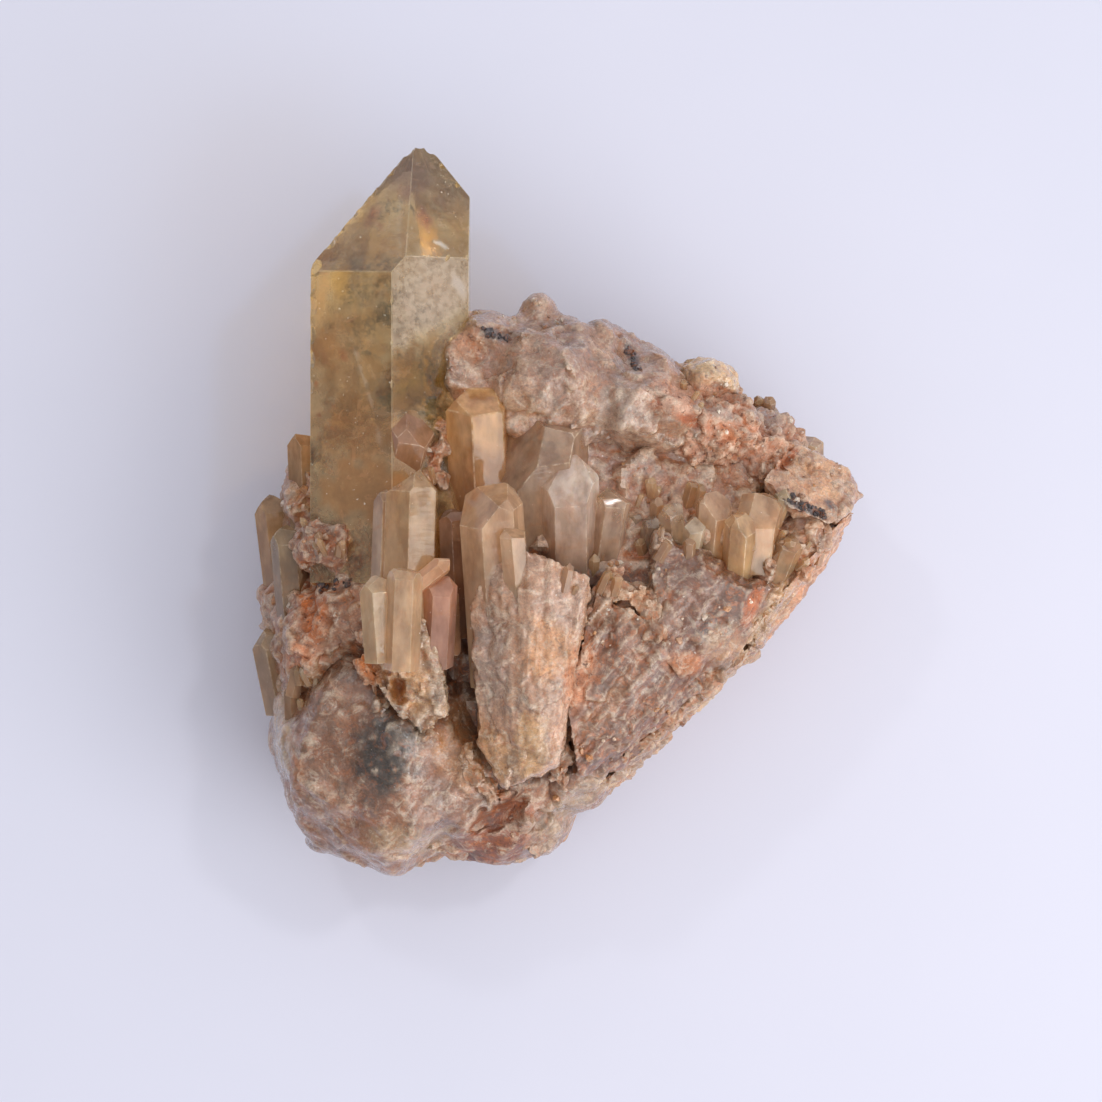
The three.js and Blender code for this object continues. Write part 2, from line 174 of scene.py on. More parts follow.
def crystal_planes(foot, tip, radius, turn=0.0, ends=(0,) * 6):
    """A quartz crystal's foot, prism and end faces. At turn 0 one of its prism faces looks up."""
    start = np.array(foot, float)
    along = np.array(tip, float) - start
    length = np.linalg.norm(along)
    along = along / length
    up = unit(UP - along * along[2])
    apothem = radius * math.cos(math.pi / 6)
    planes = [(-along, -along @ start)]
    for k, shift in enumerate(ends):
        outward = turned(up, along, math.radians(turn + 60 * k))
        shoulder = length - apothem / math.tan(END_SLOPE) + shift
        edge = start + outward * apothem + along * shoulder
        end = along * math.sin(END_SLOPE) + outward * math.cos(END_SLOPE)
        planes.append((outward, outward @ edge))
        planes.append((end, end @ edge))
    return planes


LUMP_REACH = (1.04, 0.8)  # how far out a lump's points lie, as shares of its half sizes


def lump_points(at, size, turn, seed, points=30):
    """Points spread evenly over an ellipsoid and pushed in here and there."""
    angle = math.radians(turn)
    corners = []
    for i in range(points):
        height = 1 - (2 * i + 1) / points
        round_ = i * math.pi * (3 - math.sqrt(5)) + seed
        ring = math.sqrt(1 - height * height)
        reach = between(LUMP_REACH, seed, i)
        x = ring * math.cos(round_) * reach * size[0]
        y = ring * math.sin(round_) * reach * size[1]
        z = height * reach * size[2]
        corners.append((
            at[0] + x * math.cos(angle) - y * math.sin(angle),
            at[1] + x * math.sin(angle) + y * math.cos(angle),
            at[2] + z,
        ))
    return corners


def hull_mesh(points):
    """The hull of some points, as corners and faces."""
    shape = bmesh.new()
    for point in points:
        shape.verts.new(point)
    made = bmesh.ops.convex_hull(shape, input=shape.verts)
    left_over = made["geom_unused"] + made["geom_interior"]
    unused = {v for v in left_over if isinstance(v, bmesh.types.BMVert)}
    bmesh.ops.delete(shape, geom=list(unused), context="VERTS")
    shape.verts.index_update()
    corners = np.array([v.co[:] for v in shape.verts])
    faces = [[v.index for v in f.verts] for f in shape.faces]
    shape.free()
    return corners, faces


def mesh_of(name, corners, faces):
    mesh = bpy.data.meshes.new(name)
    mesh.from_pydata([tuple(c) for c in corners], [], [tuple(int(i) for i in f) for f in faces])
    mesh.update()
    return mesh


def joined(shapes):
    """Several (corners, faces) as one."""
    corners, faces, start = [], [], 0
    for own_corners, own_faces in shapes:
        corners.append(np.asarray(own_corners, float))
        faces.extend([[int(i) + start for i in face] for face in own_faces])
        start += len(own_corners)
    return np.concatenate(corners), faces


def modified(mesh, *modifiers):
    """A mesh with modifiers applied, each given as (kind, settings)."""
    holder = placed("holder", mesh)
    for kind, settings in modifiers:
        modifier = holder.modifiers.new(kind, kind)
        for key, value in settings.items():
            setattr(modifier, key, value)
    depsgraph = bpy.context.evaluated_depsgraph_get()
    result = bpy.data.meshes.new_from_object(holder.evaluated_get(depsgraph))
    bpy.data.objects.remove(holder)
    return result


def placed(name, data):
    """A new object in the scene."""
    made = bpy.data.objects.new(name, data)
    bpy.context.scene.collection.objects.link(made)
    return made


def places(mesh):
    co = np.empty(len(mesh.vertices) * 3, np.float32)
    mesh.vertices.foreach_get("co", co)
    return co.reshape(-1, 3).astype(float)


def set_places(mesh, co):
    mesh.vertices.foreach_set("co", co.astype(np.float32).ravel())
    mesh.update()


def normals_of(mesh):
    n = np.empty(len(mesh.vertices) * 3, np.float32)
    mesh.vertex_normals.foreach_get("vector", n)
    return n.reshape(-1, 3).astype(float)


def hollowness(mesh, passes=3):
    """How far each point lies below its neighbours' level, in millimetres: above 0 in a hollow."""
    edges = np.empty(len(mesh.edges) * 2, np.int64)
    mesh.edges.foreach_get("vertices", edges)
    a, b = edges.reshape(-1, 2).T
    co, normals = places(mesh), normals_of(mesh)
    count = np.bincount(a, minlength=len(co)) + np.bincount(b, minlength=len(co))
    level = co.copy()
    for _ in range(passes):
        total = np.zeros_like(level)
        np.add.at(total, a, level[b])
        np.add.at(total, b, level[a])
        level = total / np.maximum(count, 1)[:, None]
    return ((level - co) * normals).sum(axis=1)


def paint(mesh, name, values):
    """Stores a number, a place or a colour at each point of a mesh."""
    values = np.asarray(values, np.float32)
    if values.ndim == 1:
        mesh.attributes.new(name, "FLOAT", "POINT").data.foreach_set("value", values)
    elif name == "local":
        mesh.attributes.new(name, "FLOAT_VECTOR", "POINT").data.foreach_set("vector", values.ravel())
    else:
        rgba = np.concatenate([values, np.ones((len(values), 1), np.float32)], axis=1)
        mesh.attributes.new(name, "FLOAT_COLOR", "POINT").data.foreach_set("color", rgba.ravel())


def paint_faces(mesh, name, values):
    """Stores a number on each face of a mesh."""
    mesh.attributes.new(name, "FLOAT", "FACE").data.foreach_set("value", np.asarray(values, np.float32))


def piece(name, mesh, material, smooth_below=None):
    """A finished piece: in metres, in place, riding on the part's body and standing for its solid."""
    co = (places(mesh) + SHIFT) * MM
    co[:, 2] = np.maximum(co[:, 2], 0)
    set_places(mesh, co)
    mesh.materials.clear()
    mesh.materials.append(material)
    if smooth_below is None:
        mesh.shade_flat()
    else:
        mesh.shade_smooth()
        mesh.set_sharp_from_angle(angle=math.radians(smooth_below))
    made = placed(name, mesh)
    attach(made, "root")
    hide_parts("citrine_cluster")


# The quartz mass: blocks, blades and lumps over those of the solid, with their broken surface

WIDEST_Z = 16
MASS_CENTRE = np.array([-3.5, -10.0, 0.0])
OUTLINE = [
    (-11.2, 26.1), (-4.7, 27.7), (0.2, 26.1), (5.4, 25.2), (9.6, 22.8), (13.8, 21.4),
    (20.0, 20.6), (23.2, 18.3), (28.1, 14.4), (31.0, 9.5), (36.3, 6.6), (38.8, 4.4),
    (40.1, 2.2), (37.6, -3.8), (31.4, -12.1), (26.8, -17.8), (20.3, -24.3), (12.5, -32.1),
    (5.4, -37.6), (0.2, -42.3), (-5.3, -47.4), (-11.5, -47.2), (-17.4, -47.8), (-25.2, -46.2),
    (-33.6, -40.2), (-37.8, -32.8), (-39.2, -24.3), (-38.5, -18.5), (-39.4, -12.6), (-38.8, -7.4),
    (-35.6, 1.7), (-34.9, 8.2), (-31.3, 11.1), (-23.2, 13.4), (-16.7, 19.9),
]
BODY_PROFILE = [
    (0.66, 0), (0.84, 4), (0.95, 9), (1, WIDEST_Z), (0.95, 21), (0.84, 25.5), (0.6, 29), (0.02, 31),
]

SHARDS = {
    "front_ridge": [
        (-4.2, -4.6, 42.4), (3.9, -8.1, 40.8), (4.2, -9.2, 38.8), (0.4, -19.2, 41.4),
        (-2.2, -20.2, 42.2), (-3.9, -22.6, 42.0), (-2.8, -26.8, 41.2), (-0.9, -31.8, 38.6),
        (0.1, -32.4, 37.0), (0.1, -20.0, 39.6), (-6.8, -35.8, 36.0), (-10.3, -29.6, 36.4),
        (-11.0, -18.0, 38.6), (-11.4, -11.4, 38.4), (-8.0, -6.4, 40.6),
        (-9.5, -8.6, 26), (3.6, -9.4, 26), (1.2, -31.6, 22), (-9.6, -30.6, 22),
    ],
    "left_ridge": [
        (-22.4, -12.8, 38.2), (-17.4, -12.6, 39.8), (-14.9, -17.6, 38.0), (-14.4, -25.2, 36.6),
        (-17.6, -28.6, 35.4), (-21.6, -24.6, 36.4), (-25.4, -16.8, 36.0), (-24.6, -11.6, 36.2),
        (-23.6, -12.4, 22), (-14.2, -13.4, 22), (-14.6, -27.4, 22), (-22.8, -23.6, 22),
    ],
    "right_slope": [
        (12.6, -2.2, 33.4), (20.6, -8.4, 34.6), (25.6, -9.8, 33.2), (24.0, -15.2, 31.6),
        (29.6, -9.4, 28.6), (26.4, -14.8, 28.2), (20.8, -20.8, 28.0), (15.4, -21.4, 33.4),
        (11.8, -16.4, 34.6), (12.0, -8.6, 34.4), (10.6, -6.0, 20), (27.0, -8.6, 18),
        (16.6, -22.8, 16),
    ],
    "lower_slope": [
        (4.6, -9.8, 36.4), (11.6, -13.6, 35.6), (15.4, -20.4, 33.6), (12.6, -27.4, 30.4),
        (20.0, -20.6, 27.8), (13.0, -28.4, 27.0), (5.8, -34.8, 25.2), (2.2, -33.4, 33.4),
        (0.8, -24.0, 36.6), (3.2, -11.4, 20), (16.4, -22.0, 18), (10.4, -31.6, 14),
        (0.4, -35.4, 15),
    ],
    "right_wing": [
        (31.0, 8.8, 24.6), (36.3, 6.8, 23.4), (38.3, 5.8, 22.0), (38.8, 3.6, 23.6),
        (40.1, 2.3, 20.6), (37.8, 0.4, 26.8), (35.0, -1.6, 28.8), (29.6, 0.8, 31.2),
        (26.6, 4.2, 30.0), (28.6, 7.4, 27.4), (38.6, 3.6, 14), (33.6, 7.6, 12),
        (26.6, -2.6, 16), (36.4, -1.6, 14),
    ],
    "right_strip": [
        (38.6, 0.6, 24.6), (35.4, -2.2, 28.4), (30.0, -9.2, 29.8), (24.8, -15.4, 29.4),
        (26.6, -18.0, 20.0), (31.2, -12.3, 18.4), (37.5, -3.9, 16.0), (35.2, -1.0, 12.0),
        (25.6, -15.4, 10.0),
    ],
    "lower_strip": [
        (25.8, -16.4, 28.4), (19.6, -22.6, 27.6), (12.4, -29.6, 26.0), (5.6, -35.4, 23.6),
        (5.6, -37.6, 17), (12.5, -32.0, 16.4), (20.2, -24.3, 17.4), (26.8, -17.9, 18.2),
        (22.0, -14.0, 9), (2.0, -33.6, 9),
    ],
}

# Lumps by the piece they belong to: middle, half sizes, turn about Z, seed, number of points.
LUMPS = {
    "hill": [
        ((-1.4, 16.6, 23.5), (14.4, 11.0, 13.6), -12, 1, 30),
        ((10.8, 13.4, 21.5), (12.6, 9.6, 13.2), -22, 2, 30),
        ((-12.4, 17.0, 23), (6.4, 8.4, 11.4), 25, 3, 30),
        ((-9.0, 22.6, 24), (5.4, 4.4, 9.4), -20, 38, 30),
        ((-2.7, 25.9, 22.5), (3.0, 2.8, 4.6), 0, 4, 30),
        ((6.0, 22.2, 22.5), (5.6, 3.8, 6.4), -25, 5, 30),
        ((12.8, 18.9, 25), (3.6, 3.4, 5.0), 10, 6, 30),
    ],
    "peach_lump": [((19.4, 17.4, 24.0), (5.0, 3.8, 5.4), -10, 7, 30)],
    "band": [
        ((18.8, 11.6, 20.5), (11.4, 7.4, 10.6), -28, 8, 30),
        ((26.4, 8.0, 17.5), (8.0, 6.8, 11.4), -35, 9, 30),
    ],
    "hollow": [
        ((23.6, -3.0, 20.5), (11.0, 6.6, 13.0), -8, 11, 30),
        ((16.0, 5.0, 18), (11.5, 6.4, 10.6), -18, 12, 30),
        ((9.4, -12.0, 29.6), (5.0, 4.4, 6.2), 0, 44, 30),
        ((30.4, -3.6, 24.5), (3.4, 3.8, 5.4), 0, 45, 30),
        ((34.6, -2.2, 20.0), (3.0, 3.0, 8.0), 0, 46, 30),
        ((24.7, -16.6, 21.4), (2.7, 2.4, 7.4), 0, 47, 30),
        ((26.8, -8.2, 24.6), (3.2, 2.6, 5.6), 0, 49, 30),
        ((32.0, -0.8, 23.0), (4.2, 2.8, 6.6), 0, 48, 30),
    ],
    "bulb": [
        ((-21.8, -30.6, 16.5), (18.4, 17.2, 20.4), 15, 13, 60),
        ((-12.4, -33.4, 18), (10.2, 12.0, 17.6), -10, 14, 30),
        ((-6.6, -41.2, 12), (10.8, 6.4, 14.0), 18, 15, 30),
        ((1.4, -33.0, 16), (8.8, 7.0, 15.2), 40, 16, 30),
    ],
    "left_bank": [
        ((-32.0, -17.0, 17.5), (7.8, 12.6, 17.0), 4, 17, 30),
        ((-28.2, -4.4, 22.6), (7.6, 6.6, 12.0), 0, 18, 30),
        ((-26.0, -12.6, 24.5), (7.4, 9.4, 11.8), -25, 19, 30),
        ((-32.6, 1.8, 16.6), (4.6, 9.0, 10.0), -8, 20, 30),
        ((-22.6, 4.8, 20.4), (11.6, 9.4, 12.0), 0, 21, 30),
    ],
}

# Crumbly quartz that fills the seams between the blades: corners of each seam and its half width.
SEAMS = [
    ([(5.2, -9.4, 34.4), (3.4, -17.0, 34.6), (2.2, -24.0, 33.8), (0.8, -31.5, 31.6),
      (-0.6, -35.6, 28.6)], 2.3),
    ([(14.4, -2.6, 29.6), (12.8, -9.6, 32.4), (13.2, -16.4, 32.4), (15.8, -21.6, 30.6)], 2.2),
    ([(34.2, -3.0, 27.6), (29.0, -9.8, 28.2), (24.0, -16.2, 27.8), (18.2, -22.2, 27.0),
      (11.4, -29.2, 25.6), (4.6, -35.0, 22.8)], 2.5),
    ([(27.6, -6.6, 30.0), (31.4, -4.4, 28.6), (34.6, -1.6, 27.8)], 2.6),
    ([(5.6, -8.0, 33.4), (10.4, -10.6, 33.8), (13.6, -11.4, 32.8)], 2.8),
    ([(7.4, -9.8, 34.6), (11.2, -12.6, 34.2), (12.6, -16.4, 33.4)], 3.0),
    ([(-11.6, -28.6, 33.2), (-11.4, -33.6, 32.0), (-6.4, -37.4, 29.6)], 2.4),
    ([(-24.6, -14.6, 34.2), (-24.8, -20.4, 34.4), (-21.8, -26.4, 34.0), (-15.4, -29.6, 33.8)], 2.0),
    ([(-27.4, 2.6, 27.6), (-21.4, 4.6, 31.2), (-15.6, 4.8, 32.4), (-14.6, 11.6, 31.6)], 2.4),
]
SEAM_STEP = 1.3

# Hollows pressed into the surface from above: middle, half sizes, turn about Z.
PITS = [
    ((-20.5, -22.4, 37.4), (1.1, 1.9, 3.6), 12),
    ((-23.8, -19.6, 36.6), (0.9, 3.2, 2.6), 38),
    ((-13.0, -20.8, 37.0), (1.3, 4.4, 8.4), 6),
    ((-7.6, -39.8, 26.8), (2.0, 4.6, 3.4), -48),
    ((29.9, 6.8, 28.2), (1.5, 0.9, 3.0), 40),
    ((28.2, -4.6, 32.4), (1.2, 1.2, 2.6), 0),
    ((-28.4, -9.2, 34.0), (4.2, 1.2, 2.2), 20),
]

# How each piece of the mass is broken: voxel, smoothing passes, then height and size of its swells,
# of its flat facets, of its crumbs and of its grooves, which are long one way, turned by an angle.
SURFACES = {
    "quartz_base": (0.6, 6, (0.7, 7), (1.3, 4.4), (0.35, 1.9), None),
    "hill": (0.36, 16, (0.8, 6), (0.6, 5.0), (0.05, 1.0), None),
    "peach_lump": (0.25, 14, (0.3, 3), (0.3, 2.6), (0.08, 0.8), None),
    "band": (0.34, 8, (0.7, 4), (0.6, 2.2), (0.7, 1.1), None),
    "hollow": (0.42, 8, (0.7, 5), (0.7, 4.4), (0.12, 1.2), None),
    "bulb": (0.44, 26, (0.9, 7), (0.35, 4.6), (0.12, 1.5), None),
    "left_bank": (0.4, 10, (0.6, 4), (0.7, 3.0), (0.3, 1.1), None),
    "seams": (0.3, 5, (0.4, 3), (0.5, 1.8), (0.35, 1.0), None),
    "front_ridge": (0.28, 3, (0.25, 5), (0.35, 3.2), (0.08, 0.7), (0.2, 0.9, 0)),
    "left_ridge": (0.28, 4, (0.3, 3), (0.6, 2.0), (0.15, 0.9), (0.25, 0.8, 6)),
    "right_slope": (0.32, 3, (0.4, 4), (0.4, 3.4), (0.1, 1.0), (0.35, 1.1, -40)),
    "lower_slope": (0.3, 3, (0.4, 4), (0.45, 3.0), (0.14, 1.0), (0.6, 1.2, -40)),
    "right_wing": (0.3, 3, (0.3, 4), (0.4, 2.6), (0.2, 1.0), (0.2, 0.9, 60)),
    "right_strip": (0.32, 2, (0.3, 4), (0.3, 2.4), (0.15, 0.9), (0.4, 0.8, -36)),
    "lower_strip": (0.34, 3, (0.4, 4), (0.5, 2.4), (0.3, 1.0), (0.3, 0.9, -40)),
}
FINE_FACETS = (0.35, 0.4)  # height and size of the finer facets, as shares of the large ones'
SINKING = 0.3  # how far the surface sinks for the heights of swells and facets that stand on it
SOFTENING = 2  # smoothing passes over the broken surface

# Blocks and small crystals round the sides: how many, how high up and how large.
SIDE_BLOCKS = 34
SIDE_BLOCK_Z = (3, 19)
SIDE_BLOCK_SIZES = ((4, 7.4), (4, 7.4), (3.4, 7.8))
SIDE_CRYSTALS = 40
SIDE_CRYSTAL_Z = (3.5, 14.5)
SIDE_DEPTH = 0.14  # how deep they are sunk, as a share of the mass's reach
WEATHERING = 0.07  # how far the outline is worn in here and there
GROWTH_ROOT = np.array([-9.0, -62.0, 12.0])  # the crystals fan out from here


def mass_body():
    """Rings of the outline, drawn in towards the base and the top."""
    rings = []
    for row, (share, z) in enumerate(BODY_PROFILE):
        for column, corner in enumerate(OUTLINE):
            reach = share * (1 - WEATHERING * scatter(200 + row, column))
            x, y = MASS_CENTRE[:2] + reach * (np.array(corner) - MASS_CENTRE[:2])
            rings.append((x, y, z))
    around = len(OUTLINE)
    faces = [list(range(around)), list(range(len(rings) - around, len(rings)))[::-1]]
    for row, column in product(range(len(BODY_PROFILE) - 1), range(around)):
        a = row * around + column
        b = row * around + (column + 1) % around
        faces.append([b, a, a + around, b + around])
    return np.array(rings), faces


def side_share(z):
    """How far out the mass reaches at a height, as a share of its outline."""
    shares, heights = zip(*BODY_PROFILE)
    return float(np.interp(z, heights, shares))


def side_place(around, z, share):
    """A place on the side of the mass, a share of the way round its outline."""
    at = around * len(OUTLINE)
    first, second = OUTLINE[int(at) % len(OUTLINE)], OUTLINE[(int(at) + 1) % len(OUTLINE)]
    rim = np.array(first) + (at % 1) * (np.array(second) - np.array(first))
    x, y = MASS_CENTRE[:2] + share * (rim - MASS_CENTRE[:2])
    return np.array([x, y, z])


def side_blocks():
    blocks = []
    for i in range(SIDE_BLOCKS):
        z = between(SIDE_BLOCK_Z, 51, i)
        at = side_place((i + 0.5 * scatter(52, i)) / SIDE_BLOCKS, z, side_share(z) - SIDE_DEPTH)
        size = [between(span, 53 + k, i) for k, span in enumerate(SIDE_BLOCK_SIZES)]
        blocks.append(hull_mesh(lump_points(at, size, 180 * scatter(56, i), 60 + i, 18)))
    return blocks


def side_crystals():
    crystals = []
    for i in range(SIDE_CRYSTALS):
        z = between(SIDE_CRYSTAL_Z, 91, i)
        foot = side_place((i + scatter(92, i)) / SIDE_CRYSTALS, z, side_share(z) - SIDE_DEPTH)
        outward = unit((foot - MASS_CENTRE) * [1, 1, 0])
        fanned = unit(foot - GROWTH_ROOT)
        along = unit(0.55 * outward + fanned + [0, 0, between((-0.2, 0.3), 93, i)])
        radius = 1.1 + 1.7 * scatter(94, i) ** 2
        tip = foot + along * (1.6 * radius + 2.6 + 2.6 * scatter(95, i))
        ends = [(k % 2) * radius * scatter(96 + i, k) for k in range(6)]
        crystals.append(dict(foot=foot, tip=tip, radius=radius, turn=60 * scatter(97, i), ends=ends))
    return crystals


def seam_lumps():
    lumps = []
    for number, (line, width) in enumerate(SEAMS):
        for a, b in zip(line, line[1:]):
            a, b = np.array(a), np.array(b)
            steps = max(1, int(np.linalg.norm(b - a) / SEAM_STEP))
            for i in range(steps):
                seed = 800 + 40 * number + len(lumps)
                sway = [scatter(seed, k) - 0.5 for k in range(3)]
                at = a + (b - a) * (i + scatter(seed, 4)) / steps + np.array(sway) * (1.6, 1.6, 1.0)
                size = width * np.array([0.5 + 0.4 * scatter(seed, k) for k in (5, 6, 7)])
                lumps.append(hull_mesh(lump_points(at, size, 180 * scatter(seed, 8), seed, 16)))
    return lumps


def pressed(co):
    """Sinks the points over each hollow down to its bowl."""
    co = co.copy()
    for at, size, turn in PITS:
        across = away_in_plan(co, at, size, turn) * (1 + 0.35 * noise(co, 1.1, 5))
        floor_z = at[2] - size[2] * np.sqrt(np.clip(1 - across**2, 0, 1))
        inside = (across < 1) & (co[:, 2] > floor_z) & (co[:, 2] > at[2] - size[2])
        co[inside, 2] = floor_z[inside]
    return co


def grooved(co, size, angle, seed):
    """Ridges that run one way: 0 degrees is along Y, and the angle turns them about Z."""
    turn = math.radians(angle)
    across = co[:, 0] * math.cos(turn) + co[:, 1] * math.sin(turn)
    along = -co[:, 0] * math.sin(turn) + co[:, 1] * math.cos(turn)
    lined = np.stack([across, along, co[:, 2]], axis=1)
    return fractal(lined, (size, 9 * size, 2 * size), seed, 3)


def mass_piece(name, shapes, seed):
    """One closed stretch of the mass with its broken surface, as a mesh in millimetres."""
    voxel, passes, swell, facet, crumb, groove = SURFACES[name]
    mesh = modified(
        mesh_of(name, *joined(shapes)),
        ("REMESH", dict(mode="VOXEL", voxel_size=voxel)),
        ("SMOOTH", dict(factor=0.5, iterations=passes)),
    )
    co, normals = places(mesh), normals_of(mesh)
    height, size = FINE_FACETS
    push = swell[0] * fractal(co, swell[1], seed, 3)
    push += facet[0] * fracture(co, facet[1], seed + 1)
    push += height * facet[0] * fracture(co, size * facet[1], seed + 2)
    push += crumb[0] * fractal(co, crumb[1], seed + 3, 3)
    if groove:
        depth, size, angle = groove
        push += depth * grooved(co, size, angle, seed + 4)
    co += normals * (push - SINKING * (swell[0] + facet[0]))[:, None]
    set_places(mesh, pressed(co))
    return modified(mesh, ("SMOOTH", dict(factor=0.5, iterations=SOFTENING)))


# Colours of the mass, seen from above

# Base colours of each piece: three that its patches mix, and how earthy it is.
PALETTES = {
    "seams": ((176, 134, 102), (150, 116, 92), (196, 158, 126), 0.6),
    "quartz_base": ((160, 118, 90), (140, 100, 76), (178, 136, 104), 0.35),
    "hill": ((171, 137, 114), (153, 123, 105), (187, 157, 133), 0.1),
    "peach_lump": ((224, 190, 142), (206, 176, 136), (232, 206, 168), 0.0),
    "band": ((190, 144, 118), (160, 124, 106), (204, 162, 134), 0.8),
    "hollow": ((160, 126, 106), (144, 114, 98), (180, 148, 124), 0.3),
    "bulb": ((142, 98, 70), (122, 84, 58), (160, 117, 86), 0.1),
    "left_bank": ((162, 118, 87), (143, 99, 72), (180, 140, 105), 0.4),
    "front_ridge": ((184, 146, 118), (168, 132, 106), (196, 162, 136), 0.05),
    "left_ridge": ((174, 146, 118), (156, 130, 108), (192, 166, 138), 0.1),
    "right_slope": ((121, 82, 61), (105, 71, 54), (143, 104, 77), 0.2),
    "lower_slope": ((123, 84, 63), (106, 73, 58), (143, 106, 79), 0.45),
    "right_wing": ((191, 153, 125), (176, 137, 113), (208, 174, 146), 0.4),
    "right_strip": ((196, 144, 108), (170, 136, 114), (206, 160, 122), 0.35),
    "lower_strip": ((178, 142, 108), (160, 124, 96), (200, 172, 136), 0.4),
}

